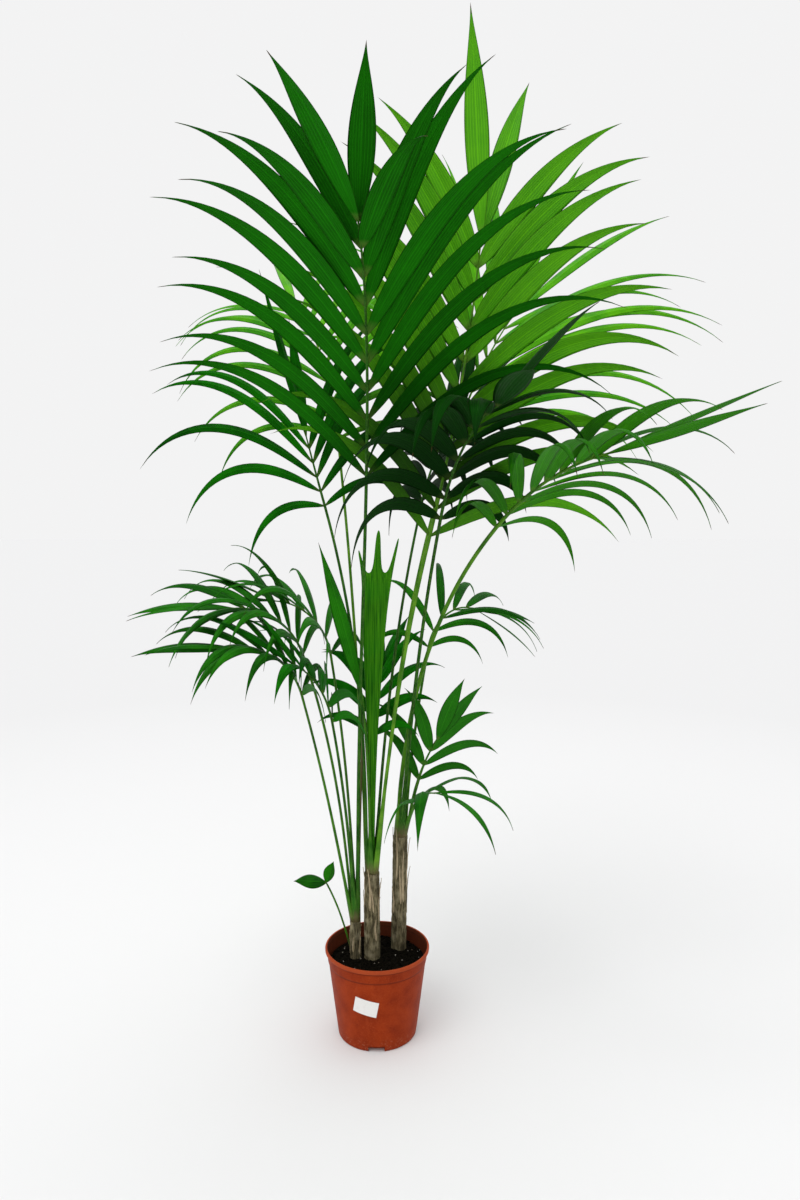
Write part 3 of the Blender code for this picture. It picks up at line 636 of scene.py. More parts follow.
SOLID_NAMES = ("pot", "soil", "label", "stem_main", "stem_right", "stem_left",
               "spear_leaf", "cut_stalk")
# painted light: which lit or shaded copy of the leaf colours each leaf is given; shade is painted
# shade, fresh is a more brightly lit copy
LEAF_LIGHTING = {
    "frond_front": "shade", "frond_top": "brightly_lit", "frond_back_right": "brightly_lit",
    "frond_back_left": "brightly_lit", "frond_left": "shade", "frond_right": "fresh",
    "frond_front_right": "deepest_shade", "frond_low_left_a": "middle", "frond_low_left_b": "middle",
    "frond_low_left_c": "shade", "frond_low_left_d": "middle", "frond_low_middle": "shade",
    "frond_mid_right": "middle", "frond_mid_back": "deepest_shade", "leaf_undivided": "middle",
    "seedling": "middle",
}


def add_leaves():
    """Every leaf as one fine piece on its CAD solid."""
    leaves = [dict(LEAF_DEFAULTS, **leaf) for leaf in LEAVES]
    placed = [object_body(frame["nodes"][name]) for name in SOLID_NAMES]
    placed += [stalk_body(leaf) for leaf in leaves]
    for leaf in leaves:
        tones = np.random.default_rng(100 + leaf["seed"])
        shape = Shape()
        add_stalk(shape, leaf)
        for side_sign, curve in place_leaflets(leaf, placed):
            add_blade(shape, curve, side_sign, float(tones.uniform(-1.0, 1.0)))
        # painted light: the leaf's lit or shaded copy of the blade and stalk colours
        lighting = LEAF_LIGHTING.get(leaf["name"], "middle")
        lit_materials = [STALK_BY_LIGHT[lighting], BLADE_BY_LIGHT[lighting]]
        shape.build(leaf["name"] + "_fine", lit_materials, leaf["name"])


# ---- materials -------------------------------------------------------------

class Nodes:
    """A short way to write one procedural material round a Principled shader."""

    def __init__(self, name, roughness, specular=0.5):
        self.material = bpy.data.materials.new(name)
        self.material.use_nodes = True
        self.tree = self.material.node_tree
        self.shader = self.tree.nodes["Principled BSDF"]
        self.shader.inputs["Roughness"].default_value = roughness
        self.shader.inputs["Specular IOR Level"].default_value = specular
        self.places = self.tree.nodes.new("ShaderNodeTexCoord").outputs
        self.coat = None

    def link(self, value, socket):
        if isinstance(value, (int, float)):
            socket.default_value = value
        elif isinstance(value, tuple):
            socket.default_value = (*value, 1.0) if len(socket.default_value) == 4 else value
        else:
            self.tree.links.new(value, socket)

    def sum(self, operation, *values):
        node = self.tree.nodes.new("ShaderNodeMath")
        node.operation = operation
        for socket, value in zip(node.inputs, values):
            self.link(value, socket)
        return node.outputs[0]

    def times(self, first, second):
        return self.sum("MULTIPLY", first, second)

    def off(self, value, middle):
        """How far a value is from a middle value."""
        return self.sum("ABSOLUTE", self.sum("SUBTRACT", value, middle))

    def ramp(self, value, low, high, start=0.0, end=1.0):
        node = self.tree.nodes.new("ShaderNodeMapRange")
        ends = {"From Min": low, "From Max": high, "To Min": start, "To Max": end}
        for name, number in ends.items():
            node.inputs[name].default_value = number
        self.link(value, node.inputs["Value"])
        return node.outputs["Result"]

    def mix(self, share, first, second):
        node = self.tree.nodes.new("ShaderNodeMix")
        node.data_type = "RGBA"
        self.link(share, node.inputs["Factor"])
        self.link(first, node.inputs[6])
        self.link(second, node.inputs[7])
        return node.outputs[2]

    def stretched(self, scale):
        node = self.tree.nodes.new("ShaderNodeMapping")
        self.tree.links.new(self.places["Object"], node.inputs["Vector"])
        node.inputs["Scale"].default_value = scale
        return node.outputs["Vector"]

    def noise(self, size, detail=3.0, rough=0.5, place=None):
        """Noise whose patches are about this size, in metres."""
        node = self.tree.nodes.new("ShaderNodeTexNoise")
        node.inputs["Scale"].default_value = 1.0 / size
        node.inputs["Detail"].default_value = detail
        node.inputs["Roughness"].default_value = rough
        self.tree.links.new(place or self.places["Object"], node.inputs["Vector"])
        return node.outputs["Fac"]

    def compare(self, operation, first, second, output="Value"):
        """One number from two places or directions."""
        node = self.tree.nodes.new("ShaderNodeVectorMath")
        node.operation = operation
        self.link(first, node.inputs[0])
        self.link(second, node.inputs[1])
        return node.outputs[output]

    def cells(self, size, place=None):
        node = self.tree.nodes.new("ShaderNodeTexVoronoi")
        node.inputs["Scale"].default_value = 1.0 / size
        self.tree.links.new(place or self.places["Object"], node.inputs["Vector"])
        return node.outputs["Distance"]

    def parts(self, place=None):
        """X, Y and Z of a place, in metres."""
        node = self.tree.nodes.new("ShaderNodeSeparateXYZ")
        self.tree.links.new(place or self.places["Object"], node.inputs["Vector"])
        return node.outputs

    def grain(self):
        """The two texture numbers of a piece: across or around it, and along it."""
        node = self.tree.nodes.new("ShaderNodeUVMap")
        node.uv_map = "grain"
        return self.parts(node.outputs["UV"])[:2]

    def tone(self):
        node = self.tree.nodes.new("ShaderNodeAttribute")
        node.attribute_name = "tone"
        return node.outputs["Fac"]

    def base(self, share, first, second):
        """Start the surface's colour as a blend of two."""
        self.coat = self.mix(share, first, second)

    def cover(self, share, colour, most=1.0):
        """Lay a colour over the surface, this opaque at most."""
        if most < 1.0:
            share = self.times(share, most)
        self.coat = self.mix(share, self.coat, colour)

    def finish(self, height=None, depth=0.0):
        """The material, with its surface raised by height, where 1 is depth in metres."""
        self.link(self.coat, self.shader.inputs["Base Color"])
        if height is not None:
            node = self.tree.nodes.new("ShaderNodeBump")
            node.inputs["Strength"].default_value = 1.0
            node.inputs["Distance"].default_value = depth
            self.link(height, node.inputs["Height"])
            self.link(node.outputs["Normal"], self.shader.inputs["Normal"])
        return self.material

    def rough(self, value):
        self.link(value, self.shader.inputs["Roughness"])


VEIN_COUNT = 9
FINE_VEIN_COUNT = 34
PAINTED_SHADE_MIDDLE = (0.085, 0.02, 1.15)    # middle of the painted shade in the crown, where leaves are painted darkest
PAINTED_SHADE_SIZE = 0.23
PAINTED_SHADE_DEPTH_SCALE = 0.45     # the painted shade reaches further from front to back


def blade_material(name, dark, light, under, gloss):
    """Leaf blade: parallel veins, pale midrib, brown edges and tip, paler underside, painted shade
    round the crown's middle.
    """
    nodes = Nodes(name, 0.42, gloss)
    across, along = nodes.grain()
    below = nodes.ramp(along, 1.45, 1.55)
    share = nodes.sum("SUBTRACT", along, nodes.times(below, 2.0))
    off = nodes.off(across, 0.5)
    wave = nodes.sum("SINE", nodes.times(across, 2.0 * math.pi * VEIN_COUNT))
    fine = nodes.sum("SINE", nodes.times(across, 2.0 * math.pi * FINE_VEIN_COUNT))
    patches = nodes.noise(0.05, 4.0, 0.55)
    shade = nodes.sum("ADD", nodes.ramp(patches, 0.3, 0.7), nodes.times(nodes.tone(), 0.40))
    pale = (1.6 * light[0] + 0.008, 1.5 * light[1] + 0.030, 1.6 * light[2] + 0.003)
    nodes.base(nodes.ramp(shade, 0.0, 1.0), dark, light)
    nodes.cover(below, under, 0.65)
    nodes.cover(nodes.ramp(wave, 0.55, 1.0), pale, 0.45)
    nodes.cover(nodes.ramp(off, 0.030, 0.012), pale, 0.40)
    nodes.cover(nodes.ramp(share, 0.06, 0.0), (0.20, 0.30, 0.06), 0.6)
    nodes.cover(nodes.ramp(off, 0.478, 0.495), (0.035, 0.018, 0.012), 0.7)
    dry = nodes.sum("ADD", share, nodes.ramp(nodes.noise(0.012), 0.3, 0.7, -0.03, 0.03))
    nodes.cover(nodes.ramp(dry, 0.955, 0.985), (0.10, 0.055, 0.025))
    # painted shade: leaflets near the crown's middle are darkened by their place, standing in for
    # shade among the leaves
    flattened = nodes.stretched((1.0, PAINTED_SHADE_DEPTH_SCALE, 1.0))
    inward = nodes.compare("DISTANCE", flattened, PAINTED_SHADE_MIDDLE)
    painted_shade = nodes.ramp(inward, PAINTED_SHADE_SIZE, 0.4 * PAINTED_SHADE_SIZE)
    nodes.cover(painted_shade, (0.0006, 0.010, 0.0006), 0.85)
    nodes.rough(nodes.ramp(patches, 0.3, 0.7, 0.36, 0.52))
    return nodes.finish(nodes.sum("ADD", nodes.times(wave, 0.7), nodes.times(fine, 0.3)), 0.00020)


def stalk_material(name, dark, light):
    """Leaf stalk: fine lengthwise lines, small scurfy specks, brown at the foot."""
    nodes = Nodes(name, 0.45, 0.06)
    _, along = nodes.grain()
    lines = nodes.noise(0.0016, 3.0, 0.6, nodes.stretched((1.0, 1.0, 0.03)))
    nodes.base(nodes.ramp(nodes.noise(0.03, 3.0), 0.35, 0.65), dark, light)
    nodes.cover(nodes.ramp(lines, 0.45, 0.7), (0.13, 0.26, 0.04), 0.5)
    nodes.cover(nodes.ramp(nodes.noise(0.0012, 1.0), 0.68, 0.74), (0.12, 0.09, 0.05), 0.5)
    ragged = nodes.sum("ADD", along, nodes.ramp(lines, 0.3, 0.7, -0.012, 0.012))
    nodes.cover(nodes.ramp(ragged, 0.03, 0.004), (0.15, 0.10, 0.055), 0.8)
    return nodes.finish(lines, 0.0002)


# painted light: each row is a lit or shaded copy of the same leaf colours, from deepest painted
# shade to brightly lit; dark, light and underside colour of a blade, its gloss, dark and light
# colour of its stalk
LIT_AND_SHADED_TONES = {
    "deepest_shade": ((0.001, 0.018, 0.001), (0.002, 0.045, 0.001), (0.006, 0.055, 0.004), 0.03,
             (0.004, 0.045, 0.002), (0.014, 0.090, 0.005)),
    "shade": ((0.001, 0.048, 0.001), (0.006, 0.170, 0.001), (0.010, 0.140, 0.003), 0.02,
              (0.006, 0.065, 0.003), (0.022, 0.125, 0.008)),
    "middle": ((0.002, 0.060, 0.001), (0.016, 0.180, 0.003), (0.020, 0.160, 0.008), 0.04,
               (0.014, 0.090, 0.005), (0.050, 0.190, 0.010)),
    "fresh": ((0.003, 0.085, 0.001), (0.036, 0.250, 0.002), (0.030, 0.210, 0.004), 0.05,
              (0.020, 0.110, 0.006), (0.080, 0.240, 0.012)),
    "brightly_lit": ((0.018, 0.210, 0.001), (0.105, 0.430, 0.002), (0.090, 0.380, 0.010), 0.08,
               (0.040, 0.160, 0.008), (0.120, 0.310, 0.016)),
}

BLADE_BY_LIGHT = {key: blade_material("blade_" + key, *tone[:4]) for key, tone in LIT_AND_SHADED_TONES.items()}
STALK_BY_LIGHT = {key: stalk_material("stalk_" + key, *tone[4:]) for key, tone in LIT_AND_SHADED_TONES.items()}


def bark_material():
    """Fibrous trunk: grey-brown strands, dark cracks, pale patches and dark specks."""
    nodes = Nodes("trunk", 0.9, 0.08)
    strands = nodes.noise(0.0022, 4.0, 0.65, nodes.stretched((1.0, 1.0, 0.12)))
    coarse = nodes.noise(0.006, 3.0, 0.6, nodes.stretched((1.0, 1.0, 0.10)))
    nodes.base(nodes.ramp(strands, 0.35, 0.68), (0.026, 0.022, 0.010), (0.23, 0.195, 0.110))
    nodes.cover(nodes.ramp(coarse, 0.52, 0.36), (0.016, 0.013, 0.007), 0.75)
    nodes.cover(nodes.ramp(nodes.noise(0.018, 3.0), 0.5, 0.75), (0.34, 0.30, 0.19), 0.6)
    nodes.cover(nodes.ramp(nodes.noise(0.0014, 2.0), 0.62, 0.70), (0.10, 0.09, 0.045), 0.6)
    return nodes.finish(nodes.sum("ADD", strands, coarse), 0.0008)


def fibre_material():
    """Dried sheath strips: straw coloured, lined along their length."""
    nodes = Nodes("dry_sheath", 0.75, 0.25)
    lines = nodes.noise(0.0012, 3.0, 0.6, nodes.stretched((1.0, 1.0, 0.05)))
    nodes.base(nodes.ramp(lines, 0.35, 0.65), (0.20, 0.145, 0.08), (0.46, 0.38, 0.24))
    return nodes.finish(lines, 0.0003)


def soil_material():
    nodes = Nodes("potting_soil", 0.97, 0.02)
    grains = nodes.noise(0.0030, 4.0, 0.65)
    nodes.base(nodes.ramp(grains, 0.35, 0.7), (0.0010, 0.0009, 0.0007), (0.010, 0.0080, 0.0050))
    nodes.cover(nodes.ramp(nodes.noise(0.02, 3.0), 0.55, 0.75), (0.014, 0.010, 0.006), 0.5)
    return nodes.finish(nodes.sum("ADD", grains, nodes.cells(0.004)), 0.0015)


def grit_material():
    """Pale grains in the soil: white volcanic grit and bits of bark."""
    nodes = Nodes("grit", 0.9, 0.2)
    spots = nodes.noise(0.0015, 3.0, 0.6)
    nodes.base(nodes.ramp(nodes.tone(), -1.0, 1.0), (0.06, 0.035, 0.018), (0.55, 0.53, 0.48))
    nodes.cover(nodes.ramp(spots, 0.4, 0.7), (0.10, 0.08, 0.06), 0.6)
    return nodes.finish(spots, 0.0004)


def pot_material():
    """Moulded brick-red plastic: speckled, painted shade in its grooves and inside, a painted
    highlight on the rim, scuffed low down.
    """
    nodes = Nodes("brick_plastic", 0.5, 0.06)
    cloud = nodes.noise(0.035, 4.0, 0.6)
    flow = nodes.noise(0.010, 3.0, 0.55, nodes.stretched((1.0, 1.0, 0.18)))
    fine = nodes.noise(0.0016, 3.0, 0.7)
    height = nodes.parts()["Z"]
    lip = POT_HEIGHT - RIM_HEIGHT
    nodes.base(nodes.ramp(cloud, 0.3, 0.7), (0.200, 0.018, 0.002), (0.310, 0.036, 0.005))
    nodes.cover(nodes.ramp(flow, 0.55, 0.8), (0.37, 0.055, 0.014), 0.35)
    nodes.cover(nodes.ramp(fine, 0.56, 0.70), (0.46, 0.085, 0.028), 0.6)
    nodes.cover(nodes.ramp(fine, 0.44, 0.30), (0.130, 0.012, 0.002), 0.5)
    scuff = nodes.ramp(nodes.noise(0.004, 4.0, 0.7), 0.56, 0.66)
    nodes.cover(nodes.times(nodes.ramp(height, 0.030, 0.0), scuff), (0.58, 0.26, 0.16), 0.7)
    # painted highlight: the rim above its lip is lighter
    nodes.cover(nodes.ramp(height, lip - 0.001, lip + 0.001), (0.50, 0.100, 0.035), 0.35)
    # painted shade: dark lines under the stacking step and under the rim's lip
    for groove in (POT_HEIGHT - STEP_BELOW_TOP, lip - 0.0012):
        painted_groove_shadow = nodes.ramp(nodes.off(height, groove), 0.0022, 0.0006)
        nodes.cover(painted_groove_shadow, (0.085, 0.010, 0.003), 0.6)
    # painted shade: faces turned inward, inside the pot, are darkened
    outward = nodes.stretched((1.0, 1.0, 0.0))
    facing = nodes.compare("DOT_PRODUCT", nodes.places["Normal"], outward)
    nodes.cover(nodes.ramp(facing, -0.02, -0.06), (0.040, 0.012, 0.005), 0.85)
    nodes.rough(nodes.ramp(fine, 0.3, 0.7, 0.42, 0.60))
    return nodes.finish(nodes.sum("ADD", fine, nodes.times(flow, 0.8)), 0.00018)


def label_material():
    """Plain white paper, a little worn and stained."""
    nodes = Nodes("label_paper", 0.55, 0.3)
    fibres = nodes.noise(0.0008, 3.0, 0.6)
    nodes.base(nodes.ramp(fibres, 0.3, 0.7), (0.74, 0.73, 0.70), (0.84, 0.84, 0.82))
    nodes.cover(nodes.ramp(nodes.noise(0.009, 3.0), 0.55, 0.8), (0.60, 0.55, 0.47), 0.35)
    return nodes.finish(fibres, 0.00005)


def fold_material():
    """The unopened leaf: fresh green, close upright pleat lines."""
    nodes = Nodes("young_folds", 0.42, 0.05)
    lines = nodes.noise(0.0022, 3.0, 0.6, nodes.stretched((1.0, 1.0, 0.02)))
    nodes.base(nodes.ramp(lines, 0.35, 0.65), (0.006, 0.085, 0.001), (0.055, 0.250, 0.004))
    nodes.cover(nodes.ramp(nodes.noise(0.05, 3.0), 0.4, 0.7), (0.020, 0.180, 0.003), 0.5)
    return nodes.finish(lines, 0.0005)


# ---- pot -------------------------------------------------------------------

POT_SEGMENTS = 144
SHARP_EDGE = 35.0            # degrees that an edge turns by before it is kept sharp
CUTTER_LENGTH = 0.040        # of a notch's cutter, outward from the notch's inner end


def lathe(name, profile, segments):
    """Turn a closed (radius, z) profile about the Z axis."""
    bm = bmesh.new()
    columns = []
    for index in range(segments):
        angle = 2.0 * math.pi * index / segments
        column = []
        for radius, z in profile[1:-1]:
            column.append(bm.verts.new((radius * math.cos(angle), radius * math.sin(angle), z)))
        columns.append(column)
    ends = [bm.verts.new((0.0, 0.0, profile[0][1])), bm.verts.new((0.0, 0.0, profile[-1][1]))]
    for index in range(segments):
        here, there = columns[index], columns[(index + 1) % segments]
        bm.faces.new((ends[0], here[0], there[0]))
        for step in range(len(here) - 1):
            bm.faces.new((here[step], here[step + 1], there[step + 1], there[step]))
        bm.faces.new((here[-1], ends[1], there[-1]))
    bmesh.ops.recalc_face_normals(bm, faces=bm.faces)
    return new_object(name, bm)


def pot_profile():
    """Floor, inside wall, rolled rim, stacking step and outside wall."""
    step = POT_HEIGHT - STEP_BELOW_TOP
    lip = POT_HEIGHT - RIM_HEIGHT
    return [
        (0.0, FLOOR_CENTRE),
        (RING_INNER_RADIUS, FLOOR_CENTRE),
        (RING_INNER_RADIUS + 0.003, FLOOR_RING),
        (inner_radius(FLOOR_RING) - 0.002, FLOOR_RING),
        (inner_radius(FLOOR_RING), FLOOR_RING + 0.002),
        (inner_radius(step), step),
        (inner_radius(step) + STEP_PROUD, step + 0.002),
        (inner_radius(POT_HEIGHT) + STEP_PROUD, POT_HEIGHT - 0.0012),
        (inner_radius(POT_HEIGHT) + STEP_PROUD + 0.0004, POT_HEIGHT - 0.0003),
        (inner_radius(POT_HEIGHT) + STEP_PROUD + 0.0012, POT_HEIGHT),
        (POT_RIM_RADIUS - 0.0016, POT_HEIGHT),
        (POT_RIM_RADIUS - 0.0005, POT_HEIGHT - 0.0005),
        (POT_RIM_RADIUS, POT_HEIGHT - 0.0018),
        (POT_RIM_RADIUS - 0.0002, lip + 0.0016),
        (POT_RIM_RADIUS - 0.0008, lip + 0.0004),
        (POT_RIM_RADIUS - 0.0018, lip),
        (wall_radius(lip) + STEP_PROUD, lip),
        (wall_radius(step + 0.004) + STEP_PROUD, step + 0.004),
        (wall_radius(step + 0.002) + STEP_PROUD - 0.0002, step + 0.002),
        (wall_radius(step) + 0.0001, step + 0.0004),
        (wall_radius(step - 0.002), step - 0.002),
        (wall_radius(0.0060), 0.0060),
        (wall_radius(0.0025) - 0.0003, 0.0025),
        (POT_BASE_RADIUS - 0.0012, 0.0006),
        (POT_BASE_RADIUS - 0.0025, 0.0),
        (0.0, 0.0),
    ]


def box_cutter(size, middle, heading):
    bm = bmesh.new()
    bmesh.ops.create_cube(bm, size=1.0)
    bmesh.ops.scale(bm, vec=size, verts=bm.verts)
    made = new_object("cutter", bm)
    made.location = middle
    made.rotation_euler = (0.0, 0.0, heading)
    return made


def cut_away(made, cutters):
    """Cut shapes out of an object, and remove the shapes."""
    bpy.context.view_layer.update()
    for cutter in cutters:
        tool = made.modifiers.new("cut", "BOOLEAN")
        tool.operation = "DIFFERENCE"
        tool.solver = "EXACT"
        tool.object = cutter
    bake_modifiers(made)
    for cutter in cutters:
        bpy.data.objects.remove(cutter)


def keep_sharp(mesh, degrees):
    """Smooth faces, with the edges that turn more than this kept sharp."""
    bm = bmesh.new()
    bm.from_mesh(mesh)
    for face in bm.faces:
        face.smooth = True
    for edge in bm.edges:
        if len(edge.link_faces) == 2:
            edge.smooth = edge.calc_face_angle(0.0) < math.radians(degrees)
    bm.to_mesh(mesh)
    bm.free()


def add_pot():
    pot = lathe("pot_shell", pot_profile(), POT_SEGMENTS)
    cutters = []
    for index in range(NOTCH_COUNT):
        heading = math.radians(-90.0 + index * 360.0 / NOTCH_COUNT)
        middle = POT_BASE_RADIUS - NOTCH_DEPTH + 0.5 * CUTTER_LENGTH
        place = (middle * math.cos(heading), middle * math.sin(heading), 0.0)
        size = (CUTTER_LENGTH, NOTCH_WIDTH, 2.0 * NOTCH_HEIGHT)
        cutters.append(box_cutter(size, place, heading))
    cut_away(pot, cutters)
    pot.data.materials.clear()
    pot.data.materials.append(pot_material())
    keep_sharp(pot.data, SHARP_EDGE)
    finish_piece(pot, "pot")


# ---- soil ------------------------------------------------------------------

CRUMBS = 700
CRUMB_SIZES = (0.0014, 0.0045)
GRIT = 26
GRIT_SIZES = (0.0008, 0.0021)
GRIT_LIFT = 0.0025           # height of a pale grain's middle over the soil


def lump(shape, place, size, seed, tone=0.0):
    """A small uneven grain."""
    bm = bmesh.new()
    bmesh.ops.create_icosphere(bm, subdivisions=2, radius=1.0)
    draws = np.random.default_rng(seed)
    squash = draws.uniform(0.55, 1.0, 3)
    shift = Vector(draws.uniform(-50.0, 50.0, 3))
    points = []
    for vert in bm.verts:
        swell = 1.0 + 0.35 * noise.noise(vert.co * 1.3 + shift)
        points.append(np.array(place) + size * swell * squash * np.array(vert.co))
    faces = [tuple(vert.index for vert in face.verts) for face in bm.faces]
    bm.free()
    shape.add(points, faces, [(0.0, 0.0)] * sum(len(face) for face in faces), tone)


def on_soil(draws, reach):
    """A place on the soil that no trunk stands on."""
    while True:
        angle = draws.uniform(0.0, 2.0 * math.pi)
        radius = reach * math.sqrt(draws.uniform(0.0, 1.0))
        x, y = radius * math.cos(angle), radius * math.sin(angle)
        clear = [math.hypot(x - stem["foot"][0], y - stem["foot"][1]) > stem["radius"][0] + 0.003
                 for stem in STEMS.values()]
        if all(clear):
            return x, y


def add_soil():
    """The packed soil stays; crumbs and pale grit lie on it."""
    material = soil_material()
    paint("soil", material)
    draws = np.random.default_rng(51)
    reach = inner_radius(SOIL_EDGE) - 0.004
    crumbs = Shape()
    for index in range(CRUMBS):
        x, y = on_soil(draws, reach)
        lump(crumbs, (x, y, soil_height(x, y)), draws.uniform(*CRUMB_SIZES), index)
    crumbs.build("soil_crumbs", [material])
    grit = Shape()
    for index in range(GRIT):
        x, y = on_soil(draws, reach)
        size, tone = draws.uniform(*GRIT_SIZES), draws.uniform(-1.0, 1.0)
        lump(grit, (x, y, soil_height(x, y) + GRIT_LIFT), size, 5000 + index, tone)
    grit.build("soil_grit", [grit_material()])


# ---- trunks ----------------------------------------------------------------

TRUNK_SIDES = 72
TRUNK_RINGS = 90
STRIPS = {"main": 11, "right": 11, "left": 6}
STRIP_RINGS = 16
STRIP_SIDES = 8
STRIP_HALF_THICK = 0.0006


def trunk_axis(stem, share):
    """Middle of the trunk at a share of its height over the socket's floor."""
    foot = np.array([*stem["foot"], SOIL_CENTRE - SOCKET_DEPTH + GAP])
    top = np.array([*stem["top"], stem["height"]])
    start = (SOIL_CENTRE + 0.004 - foot[2]) / (top[2] - foot[2])
    shift = max(0.0, (share - start) / (1.0 - start))
    middle = foot + (top - foot) * share
    middle[:2] = foot[:2] + (top[:2] - foot[:2]) * shift
    return middle, start


def trunk_radius(stem, share, start, angle, shift):
    """Ringed outline with upright fibres, drawn in from the CAD's radius."""
    radius = np.interp(share, (0.0, 1.0), stem["radius"])
    height = share * (stem["height"] - SOIL_CENTRE + SOCKET_DEPTH)
    wobble = 0.004 * noise.noise(Vector((math.cos(angle), math.sin(angle), shift)) * 1.7)
    place = (share - start) / (0.96 - start) * (stem["rings"] - 1) + wobble * 60.0
    scar = math.exp(-((place - round(place)) / 0.09) ** 2)
    around = Vector((math.cos(angle) * 5.5, math.sin(angle) * 5.5, height * 22.0 + shift))
    fibre = noise.noise(around * 2.0) + 0.6 * noise.noise(around * 4.5)
    return radius * (1.0 - 0.035 * scar) + 0.0007 * fibre


def add_trunk(name, stem, material, dry):
    """A fine trunk in place of the CAD stem, with its strips of old sheath."""
    shift = 10.0 * len(name)
    rings = []
    shares = np.linspace(0.0, 1.0, TRUNK_RINGS)
    for share in shares:
        middle, start = trunk_axis(stem, share)
        ring = []
        for index in range(TRUNK_SIDES):
            angle = 2.0 * math.pi * index / TRUNK_SIDES
            radius = trunk_radius(stem, share, start, angle, shift)
            ring.append(middle + radius * np.array([math.cos(angle), math.sin(angle), 0.0]))
        rings.append(np.array(ring))
    shape = Shape()
    shape.add_tube(rings, shares)
    shape.build("trunk_" + name, [material], "stem_" + name)
    add_strips(name, stem, dry)


def add_strips(name, stem, dry):
    """Dried edges of old leaf sheaths, lying against the trunk, some lifting off."""
    shape = Shape()
    draws = np.random.default_rng(70 + len(name))
    for index in range(STRIPS[name]):
        angle = math.radians(360.0 * (index + draws.uniform(0.0, 0.7)) / STRIPS[name])
        low = draws.uniform(0.36, 0.70)
        high = min(low + draws.uniform(0.16, 0.45), 1.06)
        width = draws.uniform(0.0012, 0.0034)
        lift = draws.uniform(0.0, 0.006)
        rings = []
        shares = np.linspace(low, high, STRIP_RINGS)
        for step, share in enumerate(shares):
            rise = step / (STRIP_RINGS - 1.0)
            middle, start = trunk_axis(stem, share)
            turn = angle + 0.12 * math.sin(3.0 * rise + index)
            radius = trunk_radius(stem, min(share, 1.0), start, turn, 10.0 * len(name))
            out = np.array([math.cos(turn), math.sin(turn), 0.0])
            side = np.array([-math.sin(turn), math.cos(turn), 0.0])
            centre = middle + out * (radius + 0.0002 + lift * rise ** 3)
            half = width * (1.0 - 0.75 * rise ** 2) * (0.35 + 0.65 * min(1.0, 8.0 * rise))
            ring = []
            for corner in range(STRIP_SIDES):
                way = 2.0 * math.pi * corner / STRIP_SIDES
                ring.append(centre + side * half * math.cos(way)
                            + out * STRIP_HALF_THICK * math.sin(way))
            rings.append(np.array(ring))
        shape.add_tube(rings, shares, True)
    shape.build("sheath_strips_" + name, [dry])


# ---- spear and cut stalk ---------------------------------------------------

ROUNDING = 2                 # times that a copied solid is subdivided


def smoothed_copy(node, name, material):
    """A subdivided copy of a CAD solid, shown in its place."""
    source = frame["nodes"][node]
    made = source.copy()
    made.data = source.data.copy()
    made.name = name
    made.parent = None
    for key in list(made.keys()):
        del made[key]
    bpy.context.scene.collection.objects.link(made)
    bm = bmesh.new()
    bm.from_mesh(made.data)
    bmesh.ops.remove_doubles(bm, verts=bm.verts, dist=1e-6)
    bmesh.ops.join_triangles(bm, faces=bm.faces, angle_face_threshold=0.2,
                             angle_shape_threshold=0.9)
    bm.to_mesh(made.data)
    bm.free()
    made.data.materials.clear()
    made.data.materials.append(material)
    rounder = made.modifiers.new("rounder", "SUBSURF")
    rounder.levels = rounder.render_levels = ROUNDING
    bake_modifiers(made)
    for face in made.data.polygons:
        face.use_smooth = True
    finish_piece(made, node)


# ---- floor, light and camera -----------------------------------------------

FLOOR_SIZE = 20.0
# painted light: the floor is paler near the pot and darker far off, where it meets the backdrop
FLOOR_NEAR = ((0.745, 0.745, 0.747), (0.758, 0.758, 0.760))
FLOOR_FAR = (0.672, 0.672, 0.674)
FLOOR_FADE = (0.7, 3.2)      # distances from the pot at which the far colour starts and is full
WORLD_COLOUR = (0.897, 0.897, 0.899)
SUNS = {                     # where the light comes from, its power, and its blur in degrees
    "key": ((-1.2, -1.6, 3.4), 1.2, 40.0),
    "rim": ((0.8, 1.4, 3.0), 0.35, 60.0),
}
CAMERA_PLACE = (0.046, -1.738, 1.087)
CAMERA_DIP = 6.7             # degrees below level
CAMERA_LENS = 27.18          # millimetres, as the sensor
CAMERA_SENSOR = 36.0


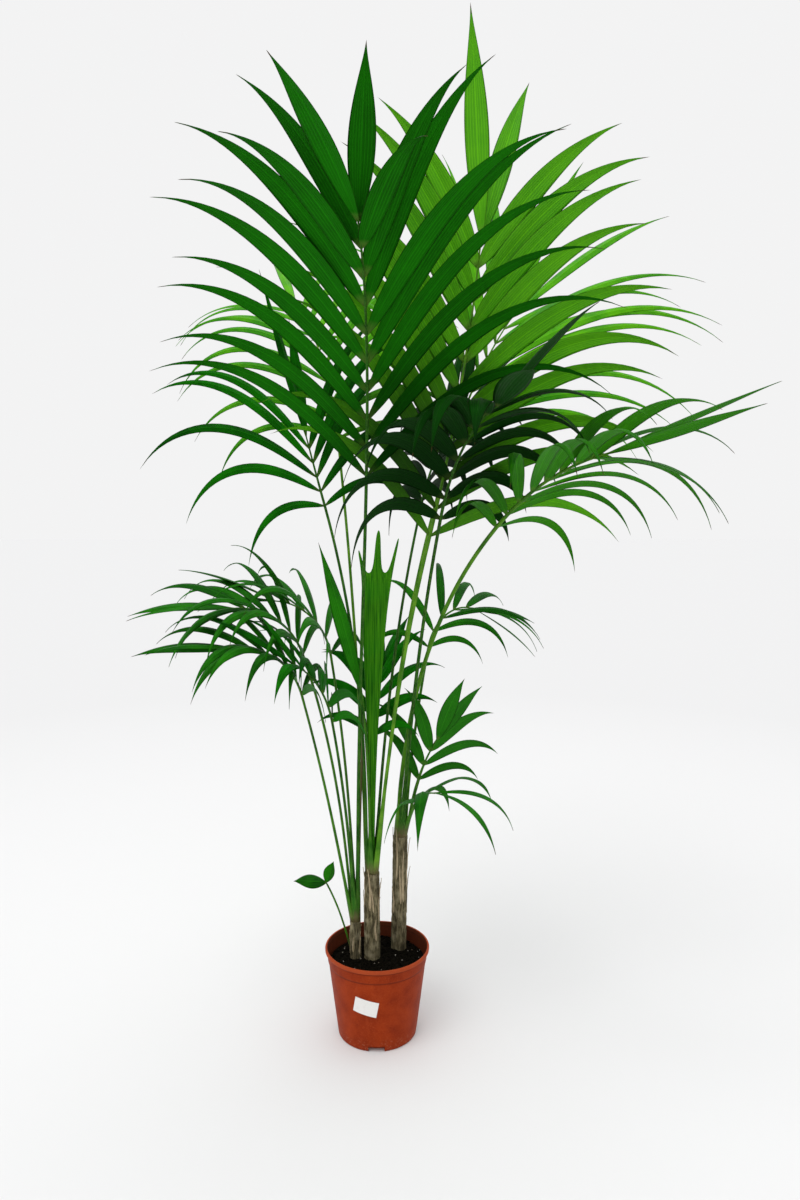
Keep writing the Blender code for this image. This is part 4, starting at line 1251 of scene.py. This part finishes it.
def add_floor():
    bm = bmesh.new()
    bmesh.ops.create_grid(bm, x_segments=2, y_segments=2, size=FLOOR_SIZE)
    floor = new_object("floor", bm)
    nodes = Nodes("pale_floor", 0.9, 0.0)
    x, y, _ = nodes.parts()
    away = nodes.sum("SQRT", nodes.sum("MULTIPLY_ADD", y, y, nodes.times(x, x)))
    # painted light: paler near the pot, fading to the darker far colour
    nodes.base(nodes.noise(1.5), *FLOOR_NEAR)
    nodes.cover(nodes.ramp(away, *FLOOR_FADE), FLOOR_FAR)
    floor.data.materials.append(nodes.finish())


def add_sun(name, place, power, blur):
    """Even light that comes from the side of this place, softened over some degrees."""
    data = bpy.data.lights.new(name, "SUN")
    data.angle = math.radians(blur)
    data.energy = power
    lamp = new_object(name, data)
    lamp.location = place
    lamp.rotation_euler = (-Vector(place)).to_track_quat("-Z", "Y").to_euler()


def add_world():
    world = bpy.data.worlds.new("studio")
    world.use_nodes = True
    background = world.node_tree.nodes["Background"]
    background.inputs["Color"].default_value = (*WORLD_COLOUR, 1.0)
    background.inputs["Strength"].default_value = 1.0
    bpy.context.scene.world = world
    bpy.context.scene.view_settings.view_transform = "Standard"


def add_camera():
    data = bpy.data.cameras.new("camera")
    data.lens = CAMERA_LENS
    data.sensor_width = CAMERA_SENSOR
    camera = new_object("camera", data)
    camera.location = CAMERA_PLACE
    camera.rotation_euler = (math.radians(90.0 - CAMERA_DIP), 0.0, 0.0)
    bpy.context.scene.camera = camera


def clear_defaults():
    for made in list(bpy.context.scene.objects):
        if made.name in ("Cube", "Light", "Camera"):
            bpy.data.objects.remove(made)


clear_defaults()
add_camera()
add_world()
add_floor()
for SUN_NAME, SUN in SUNS.items():
    add_sun(SUN_NAME, *SUN)
add_leaves()
add_pot()
add_soil()
BARK = bark_material()
DRY = fibre_material()
for STEM_NAME, STEM in STEMS.items():
    add_trunk(STEM_NAME, STEM, BARK, DRY)
smoothed_copy("spear_leaf", "spear_folds", fold_material())
# painted light: the cut stalk takes the stalk colours of the brightest lit copy
smoothed_copy("cut_stalk", "cut_stalk_fine", STALK_BY_LIGHT["brightly_lit"])
paint("label", label_material())
